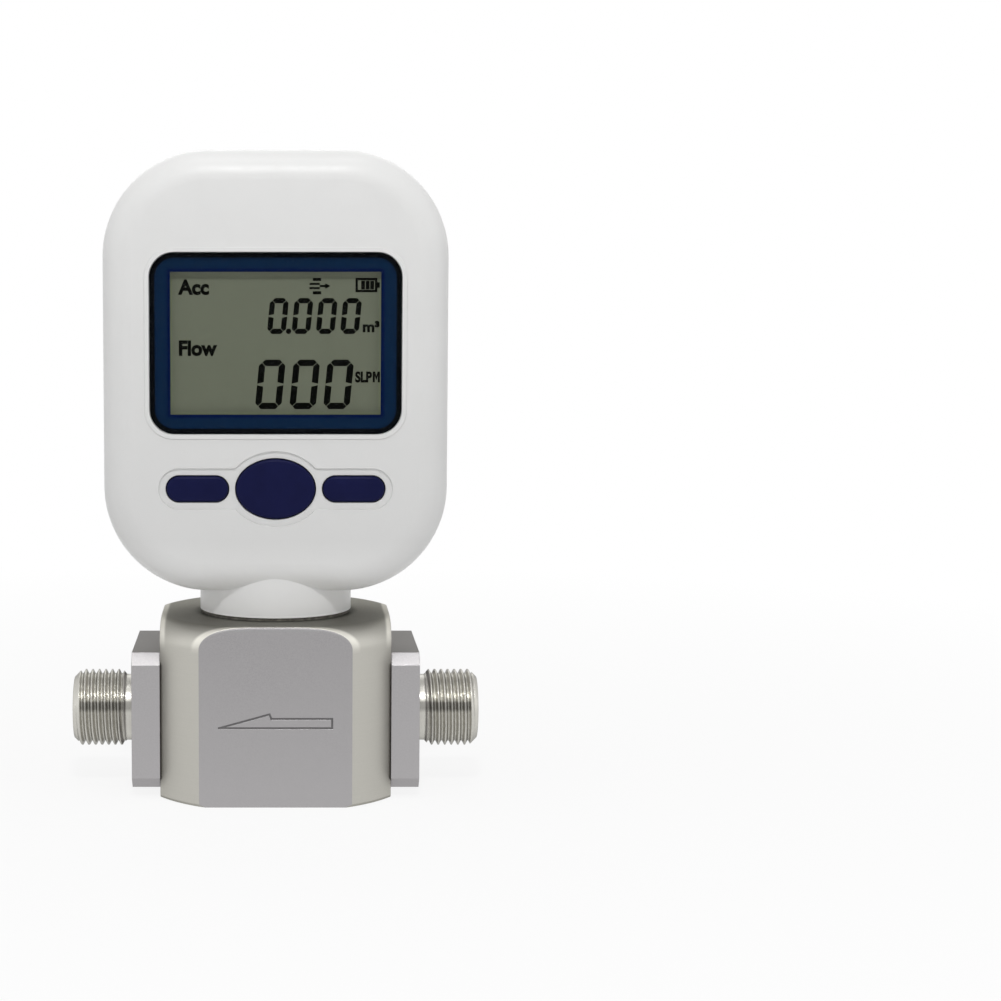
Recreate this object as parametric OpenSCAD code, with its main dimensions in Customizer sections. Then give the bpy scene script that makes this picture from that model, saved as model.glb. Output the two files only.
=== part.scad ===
// Portable gas flow meter: a handheld reading head on a neck, above a metal flow body
// with a male pipe thread at each end. Millimetres. X runs along the gas path, the display
// faces -Y, Z is up, and the origin is the centre of the flat base.

/* [Flow body] */
// Diameter of the turned bar
body_d = 74; // [68:0.5:80]
// Distance across each pair of flats
body_flat = 62; // [58:0.5:64]
// Height of the bar
body_h = 48.1; // [46:0.1:50.2]
// Radius of the rounded top edge
body_top_r = 6; // [2:0.5:7]
// Chamfer round the base
body_base_chamfer = 0.8; // [0.4:0.1:1.5]
// Height of the gas axis above the base
gas_z = 20.9; // [20.2:0.1:22.2]
// Diameter of the gas channel through the bar
channel_d = 12; // [10:0.5:12.5]
// Width and depth of the engraved arrow lines
arrow_line = 0.5; // [0.3:0.1:0.8]
// Length of the arrow
arrow_l = 29.8; // [26:0.1:32]
// Length of the arrow's head
arrow_head_l = 13.3; // [10:0.1:14]
// Height of the arrow's head above its lower line
arrow_head_h = 3.7; // [3.2:0.1:4.2]
// Height of the arrow's shaft above its lower line
arrow_shaft_h = 2.5; // [2:0.1:2.8]

/* [End blocks and nipples] */
// Distance between the two thread ends
overall_l = 111; // [108.5:0.5:118.5]
// Thickness of each flange block
block_t = 7.6; // [7:0.1:9]
// Width of each flange block, front to back
block_w = 42; // [42:0.5:44]
// Height of each flange block
block_h = 36.8; // [36.2:0.1:38.8]
// Chamfer of the block's long edges
block_chamfer = 3; // [2:0.5:3]
// Outside diameter of the pipe thread
thread_d = 20.955; // [20.9:0.005:21]
// Pitch of the pipe thread
thread_pitch = 1.814; // [1.7:0.001:1.9]
// Depth of the thread form
thread_depth = 1.162; // [1:0.001:1.2]
// Width of the plain relief beside the block
relief_w = 2.5; // [1.8:0.1:2.8]
// Diameter of the plain relief
relief_d = 18.2; // [17.5:0.1:18.6]
// Chamfer at the thread's open end, down from the crests
thread_chamfer = 2; // [1.5:0.1:2.1]
// Diameter of each port
port_d = 14; // [13:0.2:14.6]
// Diameter of the spigot that holds each nipple in its block
spigot_d = 16; // [15.8:0.1:16.6]
// Chamfer at each port's mouth
port_chamfer = 0.6; // [0.3:0.1:0.9]

/* [Block screws and seals] */
// Half the spacing of the block screws, front to back
block_screw_y = 14.5; // [14:0.1:15]
// Half the spacing of the block screws, up and down
block_screw_z = 11.5; // [11:0.1:12]
// Diameter of the block screws
block_screw_d = 4; // [3:0.5:4]
// Diameter of their heads
block_head_d = 7; // [6:0.1:7.2]
// Height of their heads
block_head_h = 4; // [3:0.1:4.2]
// How far their heads sit below the block's face
block_head_sink = 0.3; // [0.1:0.1:0.6]
// Depth of their threads in the bar
block_screw_depth = 8; // [6:0.5:9]
// Mean diameter of the face seal
seal_ring_d = 20; // [19.8:0.2:21]
// Section of the face seal
seal_cord_d = 1.8; // [1.5:0.1:2]

/* [Neck] */
// Diameter of the neck
neck_d = 41.4; // [40:0.1:42.5]
// Gap between the neck and the bar, filled by the gasket
neck_gap = 0.8; // [0.5:0.1:1.5]
// Outside diameter of the metal post inside the neck
post_d = 34.4; // [33:0.1:35]
// Inside diameter of the post
post_bore_d = 30; // [29:0.1:30.5]
// Thickness of the post's floor
post_floor = 3.3; // [3:0.1:4]
// Height of the post
post_h = 11.9; // [11.6:0.1:12.6]
// Diameter of the post's retaining rib
post_rib_d = 37.8; // [37:0.1:38.2]
// Height of the rib's lower face above the bar
post_rib_z = 4.3; // [4:0.1:4.6]
// Thickness of the rib
post_rib_t = 2.5; // [2:0.1:3]
// Radius of the circle of neck screws
neck_screw_r = 11.5; // [11.3:0.1:12]
// Diameter of the neck screws
neck_screw_d = 3; // [2.5:0.5:3]
// Diameter of their heads
neck_head_d = 5.5; // [5:0.1:5.6]
// Height of their heads
neck_head_h = 3; // [2:0.1:3]
// Depth of their threads in the bar
neck_screw_depth = 8; // [6:0.5:9]

/* [Head] */
// Width of the head
head_w = 91.8; // [90.4:0.2:95.4]
// Height of the head's lowest point above the base
head_bottom = 55.6; // [55.4:0.1:56]
// Height of the head's top above the base
head_top = 172.9; // [171.6:0.1:176.6]
// Corner radius of the head's outline
head_corner_r = 28.2; // [27.1:0.1:28.6]
// Distance from the gas axis to the front face
head_front = 21.8; // [21.6:0.1:22.5]
// Distance from the gas axis to the rear face
head_rear = 23.5; // [23.4:0.1:24]
// Radius of the front edge
front_edge_r = 8; // [5:0.5:8.5]
// Radius of the rear edge
rear_edge_r = 4.5; // [3:0.5:5]
// Thickness of the front shell's wall
front_wall = 2.4; // [2.2:0.1:2.6]
// Thickness of the rear housing's wall
rear_wall = 2.2; // [2:0.1:2.4]
// Distance from the gas axis to the seam between the shells
seam_y = 1; // [0.8:0.1:1.2]
// Width of the seam line
seam_gap = 0.3; // [0.2:0.05:0.4]
// Depth of the lip that joins the shells
seam_lip = 1.8; // [1.2:0.1:2]

/* [Display] */
// Width of the window
window_w = 66.7; // [65.2:0.1:68.2]
// Height of the window
window_h = 48; // [46.3:0.1:49.3]
// Height of the window's centre above the base
window_z = 122.1; // [121.1:0.1:123.1]
// Corner radius of the window
window_r = 6.6; // [5:0.1:8]
// Thickness of the window
window_t = 1.2; // [1:0.1:1.4]
// How far the window sits below the front face
window_sink = 0.8; // [0.6:0.1:0.9]
// Width of the raised lip round the window
lip_w = 1.2; // [0.8:0.1:1.6]
// Height of the raised lip
lip_h = 0.2; // [0.1:0.1:0.4]
// Width of the visible display
view_w = 55.6; // [54.4:0.1:56.4]
// Height of the visible display
view_h = 37.6; // [36.6:0.1:38.6]
// Thickness of the coloured frame behind the window
frame_t = 0.4; // [0.3:0.05:0.5]
// How far the display glass reaches past the visible part
glass_margin = 1.9; // [1.5:0.1:2]
// Thickness of the display glass
glass_t = 2.4; // [2:0.1:2.6]
// Wall of the display holder
holder_wall = 1.5; // [1.2:0.1:1.8]

/* [Keys] */
// Height of the keys' centre line above the base
key_z = 83.7; // [82.8:0.1:84.3]
// Distance from the middle to each side key's centre
side_key_x = 20.7; // [20.5:0.1:21.5]
// Width of a side key
side_key_w = 16.3; // [15:0.1:16.5]
// Height of a side key
side_key_h = 6.7; // [6:0.1:7]
// Width of the centre key
centre_key_w = 20.9; // [20:0.1:21.2]
// Height of the centre key
centre_key_h = 15.8; // [15:0.1:16]
// How far the keys stand out of their recess
key_proud = 1; // [0.8:0.1:1.2]
// How far a key travels
key_travel = 0.6; // [0.3:0.1:0.6]
// Clearance round a key
key_clearance = 0.3; // [0.2:0.05:0.4]
// Bevel of a key's front edge
key_bevel = 0.5; // [0.3:0.1:0.7]
// Width of the flange that keeps a key in
key_flange_w = 0.9; // [0.6:0.1:1]
// Thickness of the flange
key_flange_t = 1; // [0.8:0.1:1.1]
// Depth of the shallow recess round the keys
recess_depth = 0.5; // [0.3:0.1:0.6]
// Margin of the recess past the keys
recess_margin = 2.1; // [1.6:0.1:2.3]

/* [Circuit board] */
// Distance from the gas axis to the board's front
board_y = 12; // [11.8:0.1:12.2]
// Thickness of the board
board_t = 1.6; // [1:0.1:1.8]
// Gap between the board's side edges and the front shell's wall
board_side_gap = 1.8; // [1.5:0.1:3]
// Gap between the board's upper edge and the front shell's wall
board_top_gap = 3.1; // [2.6:0.1:4]
// Height of the board's lower edge above the head's lowest point
board_rise = 15.2; // [14.7:0.1:15.8]
// Corner radius of the board
board_r = 23; // [22:0.5:24]
// Distance of the upper board screws from the board's side edges
upper_board_screw_in = 5; // [4:0.1:6]
// Distance of the upper board screws from the board's upper edge
upper_board_screw_down = 18.8; // [18:0.1:20]
// Distance of the lower board screws from the board's side edges
lower_board_screw_in = 8; // [7.6:0.1:8.4]
// Distance of the lower board screws from the board's lower edge
lower_board_screw_up = 10; // [9:0.1:11]
// Diameter of a board screw
board_screw_d = 2.2; // [2:0.1:2.6]
// Diameter of a post that carries a board screw
board_post_d = 6; // [5.5:0.1:6.5]
// Width of a key switch
switch_w = 6.2; // [6:0.1:7]
// Height of a key switch
switch_h = 3.6; // [3:0.1:3.7]
// Diameter of a switch's plunger
plunger_d = 3.4; // [3:0.1:3.6]

/* [Shell screws] */
// Distance of the upper shell screws from the middle
upper_screw_x = 32.5; // [31.5:0.5:33]
// Height of the upper shell screws above the base
upper_screw_z = 159.5; // [158.5:0.5:160]
// Distance of the lower shell screws and their plugs from the middle
lower_screw_x = 23.8; // [23.5:0.1:24.1]
// Height of the lower shell screws and their plugs above the base
lower_screw_z = 65.7; // [65.4:0.1:66]
// Diameter of a shell screw
shell_screw_d = 3; // [2.6:0.1:3]
// Diameter of a shell screw's head
shell_head_d = 5.6; // [5:0.1:5.8]
// Height of a shell screw's head
shell_head_h = 2.2; // [1.8:0.1:2.4]
// Diameter of a post that carries a shell screw
shell_post_d = 7; // [6.5:0.1:7.4]
// Diameter of a screw plug
plug_d = 8.8; // [8.4:0.1:9]
// Depth of a screw plug
plug_t = 6; // [4:0.5:8]

/* [Battery cover] */
// Height of the shoulders where the cover becomes full width
shoulder_z = 150.5; // [149.8:0.1:151.1]
// Height of the cover's lower edge above the base
cover_bottom = 73.6; // [73.4:0.1:74.1]
// Width of the cover below the shoulders
cover_w = 78.6; // [77.9:0.1:79]
// Width of the open groove round the cover
groove_w = 1.2; // [0.8:0.1:1.4]
// Distance from the gas axis to the full-width cap's front edge
cap_y = 8; // [7.5:0.1:8.5]
// Height of the cover screw above the base
cover_screw_z = 160.9; // [160.2:0.1:161.2]
// Diameter of the cover screw
cover_screw_d = 3; // [2.5:0.1:3]
// Diameter of the hole round its head
cover_screw_hole_d = 7.2; // [6.8:0.1:7.4]
// Height of the lowest finger ridge above the base
ridge_z = 76.4; // [75.8:0.1:77.3]
// Distance from one finger ridge to the next
ridge_pitch = 2.8; // [2.5:0.1:3]
// Number of finger ridges
ridge_count = 4; // [3:1:4]
// Width of a finger ridge
ridge_w = 11.6; // [10:0.1:14]
// Height of a finger ridge above the cover
ridge_h = 0.5; // [0.3:0.1:0.7]
// Width of the rating label
rating_w = 52.6; // [49:0.1:58.6]
// Height of the rating label
rating_h = 36.7; // [33:0.1:41]
// Height of the rating label's centre above the base
rating_z = 120.9; // [118:0.1:124]
// Width of the serial label
serial_w = 32.8; // [29.4:0.1:34.4]
// Height of the serial label
serial_h = 8.9; // [8:0.1:9.8]
// Height of the serial label's centre above the base
serial_z = 63.9; // [63.6:0.1:64.6]
// Thickness of the labels
label_t = 0.2; // [0.1:0.05:0.3]
// Corner radius of the labels
label_r = 1.5; // [1:0.1:2.5]

/* [Batteries] */
// Number of cells
cell_count = 4; // [3:1:4]
// Diameter of a cell
cell_d = 14.2; // [14:0.1:14.4]
// Length of a cell without its button
cell_l = 49.2; // [48.5:0.1:49.4]
// Diameter of a cell's button
button_d = 5.5; // [5:0.1:5.6]
// Height of a cell's button
button_h = 1.1; // [0.9:0.1:1.2]
// Distance from one cell to the next
cell_pitch = 15; // [14.8:0.1:15.2]
// Height of the battery tray's inside floor above the base
tray_z = 84; // [83:0.5:85]
// Wall of the battery tray
tray_wall = 1.5; // [1.2:0.1:1.8]
// Diameter of a contact spring's wire
spring_wire_d = 0.7; // [0.5:0.1:0.8]
// Length of a contact spring in the tray
spring_l = 5.9; // [5:0.1:7]
// Number of turns in a contact spring
spring_turns = 3.5; // [2.5:0.5:4]

/* [Sensor] */
// Diameter of the sensor carrier
carrier_d = 9.8; // [9.6:0.1:9.9]
// Diameter of the carrier's flange
carrier_flange_d = 17; // [16.8:0.1:17.2]
// Thickness of the carrier's flange
carrier_flange_t = 2; // [1.6:0.1:2.2]
// Width of the sensor board
sensor_board_w = 7; // [6:0.1:7.2]
// Thickness of the sensor board
sensor_board_t = 0.8; // [0.6:0.1:1]
// Height of the sensor board's lower end above the base
sensor_board_bottom = 15.8; // [15.4:0.1:17.2]
// Height of the sensor board's upper end above the base
sensor_board_top = 59.6; // [59:0.1:60]
// Size of the sensor chip
chip_w = 2; // [1.5:0.1:2.5]
// Thickness of the sensor chip
chip_t = 0.5; // [0.4:0.1:0.6]
// Length of the flow straightener
straightener_l = 8; // [6:0.5:10]

/* [Hidden] */
$fn = 96;
// Small overlap that keeps one solid joined and every cut clean
bite = 0.2;
// Clearance between pieces that slide or drop in
slip = 0.15;
// Clearance round a screw in its own thread
thread_slip = 0.05;
// Clearance round a screw in a plain hole
hole_slip = 0.2;
// Distance that reaches past the whole object
far = 200;
body_half = body_flat / 2;
block_x = body_half + block_t;
end_x = overall_l / 2;
neck_z = body_h + neck_gap;
post_floor_z = body_h + post_floor;
seam_front = seam_y - seam_gap / 2;
seam_rear = seam_y + seam_gap / 2;
head_mid_z = (head_bottom + head_top) / 2;
front_inner = head_front - front_wall;
rear_inner = head_rear - rear_wall;
window_face = head_front - window_sink;
mask_face = window_face - window_t;
ledge_face = mask_face - frame_t;
ledge_t = 1.5;
ledge_margin = 0.75;
ledge_back = ledge_face - ledge_t;
glass_face = ledge_back - slip;
glass_back = glass_face - glass_t;
board_back = board_y - board_t;
board_w = head_w - 2 * front_wall - 2 * board_side_gap;
board_top = head_top - front_wall - board_top_gap;
board_bottom = head_bottom + board_rise;
board_h = board_top - board_bottom;
recess_face = head_front - recess_depth;
key_face = recess_face + key_proud;
key_flange_face = front_inner - slip;
key_back = key_flange_face - key_flange_t;
plunger_tip = key_back - key_travel - slip;
// Middle wall between the electronics and the batteries
mid_wall_gap = 1.5;
mid_wall_t = 1.5;
mid_wall_y = seam_y + mid_wall_gap;
bay_y = mid_wall_y + mid_wall_t;
// Battery tray and contact plates
tray_floor_t = 1.2;
cell_y = bay_y + tray_floor_t + slip + cell_d / 2;
tray_w = cell_count * cell_pitch + slip * 2;
plate_t = 0.4;
plate_share = 0.8;
tray_l = cell_l + button_h + spring_l + 2 * plate_t;
// Rails that guide the cover, and the flange that runs in them
flange_t = 1.2;
flange_drop = 1.7;
flange_start = 4.5;
flange_end = 2;
flange_in = 1.9;
flange_out = 3.4;
rail_t = 2.1;
flange_y = rear_inner - flange_drop;
flange_z = cover_bottom + flange_start;
flange_top = shoulder_z - flange_end;
flange_inner_x = cover_w / 2 - flange_in;
flange_outer_x = cover_w / 2 + flange_out;
rail_inner_x = flange_inner_x + hole_slip;
rail_front_y = flange_y - rail_t;
groove_x = cover_w / 2 + groove_w;
// Boss, screw and nut of the cover, and the fork that they grip
boss_h = 2.8;
boss_d = 9.2;
cover_hole_depth = 3.6;
washer_d = 7;
washer_t = 0.8;
cover_head_d = 6;
cover_head_h = 1.6;
star_r = 1.25;
star_lobe_r = 0.45;
star_depth = 1;
star_pin_d = 1;
nut_af = 5.5;
nut_t = 2.4;
ear_t = 2.6;
ear_half_w = 7;
ear_rib_t = 2;
ear_below = 6.7;
ear_above = 4.3;
boss_face = rear_inner - boss_h;
ear_face = boss_face - slip;
ear_bottom = cover_screw_z - ear_below;
ear_top = cover_screw_z + ear_above;
nut_face = ear_face - ear_t - slip;
cover_seat_y = head_rear - cover_hole_depth;
cover_head_y = cover_seat_y + washer_t;
// Screws that hold the sensor carrier
sensor_screw_r = 6.6;
sensor_screw_d = 2;
sensor_head_d = 3.6;
sensor_head_h = 1.2;
sensor_screw_l = 4.6;
// Groove for the carrier's seal
carrier_groove_z = gas_z + body_h / 3;
carrier_groove_d = carrier_d - 4 * seal_cord_d / 3;
// Ribbon from the sensor board, and its socket on the main board
ribbon_t = 0.4;
ribbon_w = 6;
socket_rise = 4;
socket_z = board_bottom + socket_rise;
socket_w = 10;
socket_h = 5;
socket_t = 3;
// Battery leads, and their socket on the main board
lead_d = 1.4;
lead_gap = 3;
lead_in = 7;
lead_rise = 22;
lead_x = board_w / 2 - lead_in;
lead_z = board_bottom + lead_rise;
lead_socket_w = 7;
lead_socket_h = 8;
lead_socket_t = 4;
lead_socket_shift = 2;
// Height of the arrow's lower line above the gas axis, and the step behind its head
arrow_lift = 0.4;
arrow_step = 0.5;
// How far the gasket lies inside the neck's outline
gasket_inset = 0.3;
// Short flat left between the two round ends of a pill outline
pill_flat = 0.1;
// Parts on the board: place and size along X and along Z as shares of the board's width and
// height, then thickness as a share of the board's
rear_part_shares = [[-0.21, 0.49, 0.14, 0.12, 1], [0.12, 0.55, 0.1, 0.09, 0.9],
    [-0.05, 0.71, 0.16, 0.05, 1.1], [0.28, 0.34, 0.09, 0.06, 1.25], [-0.35, 0.2, 0.07, 0.1, 1.5],
    [0.26, 0.77, 0.06, 0.09, 1.25]];
front_part_shares = [[-0.42, 0.3, 0.05, 0.08, 1], [0.42, 0.49, 0.05, 0.1, 1],
    [-0.09, 0.85, 0.12, 0.06, 1.25], [0.16, 0.87, 0.06, 0.05, 1.25], [0, 0.24, 0.19, 0.03, 0.9]];
board_screw_places = [for (side = [-1, 1]) each [
    [side * (board_w / 2 - upper_board_screw_in), board_top - upper_board_screw_down],
    [side * (board_w / 2 - lower_board_screw_in), board_bottom + lower_board_screw_up]]];
shell_screw_places = [for (side = [-1, 1]) each [[side * upper_screw_x, upper_screw_z],
    [side * lower_screw_x, lower_screw_z]]];

// Rectangle with round corners, centred on the origin
module round_rect(w, h, r) {
    square([w - 2 * r, h], center = true);
    square([w, h - 2 * r], center = true);
    for (sx = [-1, 1], sz = [-1, 1])
        translate([sx * (w / 2 - r), sz * (h / 2 - r)])
            circle(r);
}

// Half of a section through a flat case: reach a, from y0 to y1, edge radii r0 and r1
module half_section(a, y0, y1, r0, r1) {
    translate([0, y0 + r0])
        square([a, y1 - y0 - r0 - r1]);
    if (r0 > 0) {
        translate([0, y0])
            square([a - r0, r0 + bite]);
        translate([a - r0, y0 + r0])
            circle(r0);
    }
    if (r1 > 0) {
        translate([0, y1 - r1 - bite])
            square([a - r1, r1 + bite]);
        translate([a - r1, y1 - r1])
            circle(r1);
    }
}

module full_section(a, y0, y1, r0, r1) {
    half_section(a, y0, y1, r0, r1);
    mirror([1, 0])
        half_section(a, y0, y1, r0, r1);
}

// The head's case shape, drawn in by inset, from y0 to y1, with rolled edges r0 and r1: a
// middle bar, two side bars and four quarter rounds that meet face to face
module case_solid(inset, y0, y1, r0, r1) {
    a = head_w / 2 - inset;
    b = (head_top - head_bottom) / 2 - inset;
    r = head_corner_r - inset;
    translate([0, 0, head_mid_z]) {
        rotate([0, -90, 0])
            linear_extrude(height = 2 * (a - r), center = true)
                full_section(b, y0, y1, r0, r1);
        for (side = [0, 1])
            mirror([side, 0, 0]) {
                translate([a - r, 0, 0])
                    linear_extrude(height = 2 * (b - r), center = true)
                        half_section(r, y0, y1, r0, r1);
                for (top = [0, 1])
                    mirror([0, 0, top])
                        translate([a - r, 0, r - b])
                            rotate([-90, 0, 0])
                                rotate_extrude(angle = 90)
                                    half_section(r, y0, y1, r0, r1);
            }
    }
}

// Box from two opposite corners
module span(x, y, z) {
    translate([x[0], y[0], z[0]])
        cube([x[1] - x[0], y[1] - y[0], z[1] - z[0]]);
}

// The same box on the left and on the right
module both_sides(x, y, z) {
    span(x, y, z);
    mirror([1, 0, 0])
        span(x, y, z);
}

// Round bar along Y from y0 to y1, at x and z
module bar_y(x, z, y0, y1, d) {
    translate([x, y0, z])
        rotate([-90, 0, 0])
            cylinder(h = y1 - y0, d = d);
}

// Flat plate facing Y with round corners, from y0 to y1, centred at height z
module plate_y(w, h, r, z, y0, y1) {
    translate([0, y1, z])
        rotate([90, 0, 0])
            linear_extrude(height = y1 - y0)
                round_rect(w, h, r);
}

// Outlines of the keys, grown by g
module side_key_outline(g) {
    round_rect(side_key_w + 2 * g, side_key_h + 2 * g, side_key_h / 2 + g - pill_flat / 2);
}

module centre_key_outline(g) {
    a = centre_key_w / 2 + g;
    b = centre_key_h / 2 + g;
    polygon([for (i = [0:$fn - 1]) [a * cos(360 * i / $fn), b * sin(360 * i / $fn)]]);
}

// Outline along Y at a key's place, from y0 to y1
module key_place(x, y0, y1) {
    translate([x, y1, key_z])
        rotate([90, 0, 0])
            linear_extrude(height = y1 - y0)
                children();
}

module key_holes() {
    for (x = [-side_key_x, side_key_x])
        key_place(x, -far, -front_inner + bite)
            side_key_outline(key_clearance);
    key_place(0, -far, -front_inner + bite)
        centre_key_outline(key_clearance);
}

module key_recess() {
    key_place(0, -far, -recess_face)
        round_rect(2 * side_key_x + side_key_w + 2 * recess_margin, side_key_h + 2 * recess_margin,
            side_key_h / 2 + recess_margin - pill_flat / 2);
    key_place(0, -far, -recess_face)
        centre_key_outline(recess_margin);
}

// Screw along Y: head from the face at y towards +Y, shank of length l towards -Y
module screw_y(x, z, y, d, head_d, head_h, l) {
    difference() {
        union() {
            bar_y(x, z, y, y + head_h, head_d);
            bar_y(x, z, y - l, y + bite, d);
        }
        translate([x - head_d / 3, y + head_h / 2, z - bite])
            cube([head_d * 2 / 3, head_h, 2 * bite]);
        translate([x - bite, y + head_h / 2, z - head_d / 3])
            cube([2 * bite, head_h, head_d * 2 / 3]);
    }
}

// Socket screw along Z: head from the face at z upwards, shank of length l downwards
module socket_screw(d, head_d, head_h, l) {
    difference() {
        union() {
            cylinder(h = head_h, d = head_d);
            translate([0, 0, -l])
                cylinder(h = l + bite, d = d);
        }
        translate([0, 0, head_h / 2])
            cylinder(h = head_h, d = head_d / 2, $fn = 6);
    }
}

// Places of the four neck screws
module at_neck_screws() {
    for (i = [0:3])
        rotate([0, 0, 45 + 90 * i])
            translate([neck_screw_r, 0, post_floor_z])
                children();
}

// Places of the two sensor screws
module at_sensor_screws() {
    for (side = [-1, 1])
        translate([0, side * sensor_screw_r, post_floor_z + carrier_flange_t])
            children();
}

// Places of the four screws of the right-hand block, axis along +X
module at_block_screws() {
    for (sy = [-1, 1], sz = [-1, 1])
        translate([block_x - block_head_sink - block_head_h, sy * block_screw_y, gas_z + sz * block_screw_z])
            rotate([0, 90, 0])
                children();
}

// Half arrow engraved in a flat, pointing to -X
module arrow_cut() {
    tip = -arrow_l / 2;
    barb = tip + arrow_head_l;
    low = arrow_lift;
    points = [[tip, low], [barb, low + arrow_head_h], [barb + arrow_step, low + arrow_shaft_h],
        [-tip, low + arrow_shaft_h], [-tip, low]];
    n = len(points);
    for (i = [0:n - 1]) {
        p = points[i];
        q = points[(i + 1) % n];
        run = q - p;
        translate([p[0], 0, gas_z + p[1]])
            rotate([0, -atan2(run[1], run[0]), 0])
                translate([-arrow_line / 2, -arrow_line / 2, -arrow_line / 2])
                    cube([norm(run) + arrow_line, arrow_line, arrow_line]);
    }
}

module flow_body() {
    r = body_d / 2;
    color("#9d9a98") difference() {
        intersection() {
            rotate_extrude(convexity = 4) {
                polygon([[0, 0], [r - body_base_chamfer, 0], [r, body_base_chamfer],
                    [r, body_h - body_top_r], [r - body_top_r, body_h - body_top_r],
                    [r - body_top_r, body_h], [0, body_h]]);
                translate([r - body_top_r, body_h - body_top_r])
                    circle(body_top_r);
            }
            translate([-body_half, -body_half, -bite])
                cube([body_flat, body_flat, body_h + 2 * bite]);
        }
        translate([-far, 0, gas_z])
            rotate([0, 90, 0])
                cylinder(h = 2 * far, d = channel_d);
        translate([0, 0, gas_z])
            cylinder(h = far, d = carrier_d + hole_slip);
        at_neck_screws()
            translate([0, 0, -post_floor - neck_screw_depth - bite])
                cylinder(h = far, d = neck_screw_d + 2 * thread_slip);
        for (side = [0, 1])
            mirror([side, 0, 0])
                at_block_screws()
                    translate([0, 0, -block_t - block_screw_depth])
                        cylinder(h = far, d = block_screw_d + 2 * thread_slip);
        translate([0, -body_half, 0])
            arrow_cut();
        translate([0, body_half, 0])
            arrow_cut();
    }
}

// Chamfered block on the right-hand flat, with the nipple's bore, the seal's groove and the screws' holes
module end_block() {
    c = block_chamfer;
    w = block_w / 2;
    h = block_h / 2;
    difference() {
        translate([body_half, 0, gas_z])
            rotate([90, 0, 90])
                linear_extrude(height = block_t)
                    polygon([[-w + c, -h], [w - c, -h], [w, -h + c], [w, h - c],
                        [w - c, h], [-w + c, h], [-w, h - c], [-w, -h + c]]);
        translate([body_half - bite, 0, gas_z])
            rotate([0, 90, 0])
                cylinder(h = far, d = spigot_d + 2 * thread_slip);
        translate([body_half, 0, gas_z])
            rotate([0, 90, 0])
                seal_groove();
        at_block_screws() {
            cylinder(h = far, d = block_head_d + hole_slip * 2);
            translate([0, 0, -far])
                cylinder(h = far + bite, d = block_screw_d + 2 * hole_slip);
        }
    }
}

// Nipple: a spigot in the block, a plain relief and the thread form as rings, each crest and
// root a short cylinder
module nipple() {
    r = thread_d / 2;
    crest = thread_pitch / 6;
    flank = (thread_pitch - 2 * crest) / 2;
    start = block_x + relief_w;
    foot = body_half + hole_slip;
    tip = thread_chamfer - thread_depth;
    turns = floor((end_x - start - tip) / thread_pitch);
    last = start + turns * thread_pitch;
    points = [for (i = [0:turns - 1], p = [[0, 0], [flank, 1], [flank + crest, 1],
        [2 * flank + crest, 0]]) [r - thread_depth * (1 - p[1]), start + i * thread_pitch + p[0]]];
    difference() {
        translate([0, 0, gas_z])
            rotate([0, 90, 0])
                rotate_extrude(convexity = 10)
                    polygon(concat([[0, foot], [spigot_d / 2, foot], [spigot_d / 2, block_x],
                        [relief_d / 2, block_x], [relief_d / 2, start]], points,
                        [[r - thread_depth, last], [r - thread_depth, end_x - tip],
                        [r - thread_depth - tip, end_x], [0, end_x]]));
        translate([body_half, 0, gas_z])
            rotate([0, 90, 0])
                cylinder(h = far, d = port_d);
        translate([end_x - port_chamfer, 0, gas_z])
            rotate([0, 90, 0])
                cylinder(h = port_chamfer + bite, d1 = port_d, d2 = port_d + 2 * (port_chamfer + bite));
    }
}

module seal_groove() {
    difference() {
        translate([0, 0, -bite])
            cylinder(h = seal_cord_d + bite, d = seal_ring_d + seal_cord_d + hole_slip);
        translate([0, 0, -far / 2])
            cylinder(h = far, d = seal_ring_d - seal_cord_d - hole_slip);
    }
}

module inlet_block() {
    color("#a8a6a3") end_block();
}

module outlet_block() {
    color("#a8a6a3") mirror([1, 0, 0])
        end_block();
}

module inlet_nipple() {
    color("#c2c1bd") nipple();
}

module outlet_nipple() {
    color("#c2c1bd") mirror([1, 0, 0])
        nipple();
}

module block_seals() {
    color("#1c1c1c") for (side = [-1, 1])
        translate([side * (body_half + seal_cord_d / 2), 0, gas_z])
            rotate([0, 90, 0])
                rotate_extrude()
                    translate([seal_ring_d / 2, 0])
                        circle(d = seal_cord_d);
}

module block_screws() {
    color("#8f9092") for (side = [0, 1])
        mirror([side, 0, 0])
            at_block_screws()
                socket_screw(block_screw_d, block_head_d, block_head_h,
                    block_t - block_head_sink - block_head_h + block_screw_depth - bite);
}

// Disc of parallel holes that calms the gas, a push fit in the channel at the inlet side
module flow_straightener() {
    hole_d = channel_d / 4;
    color("#b0b0ae") translate([body_half - straightener_l - bite, 0, gas_z])
        rotate([0, 90, 0])
            difference() {
                cylinder(h = straightener_l, d = channel_d);
                translate([0, 0, -bite])
                    cylinder(h = straightener_l + 2 * bite, d = hole_d);
                for (i = [0:5])
                    rotate([0, 0, 60 * i])
                        translate([channel_d / 3, 0, -bite])
                            cylinder(h = straightener_l + 2 * bite, d = hole_d);
            }
}

module neck_post() {
    color("#a9a9a6") difference() {
        union() {
            translate([0, 0, body_h])
                cylinder(h = post_h, d = post_d);
            translate([0, 0, body_h + post_rib_z])
                cylinder(h = post_rib_t, d = post_rib_d);
        }
        translate([0, 0, post_floor_z])
            cylinder(h = far, d = post_bore_d);
        translate([0, 0, body_h - bite])
            cylinder(h = far, d = carrier_d + hole_slip);
        at_neck_screws()
            translate([0, 0, -far / 2])
                cylinder(h = far, d = neck_screw_d + 2 * hole_slip);
        at_sensor_screws()
            translate([0, 0, -far / 2])
                cylinder(h = far, d = sensor_screw_d + 2 * thread_slip);
    }
}

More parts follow.
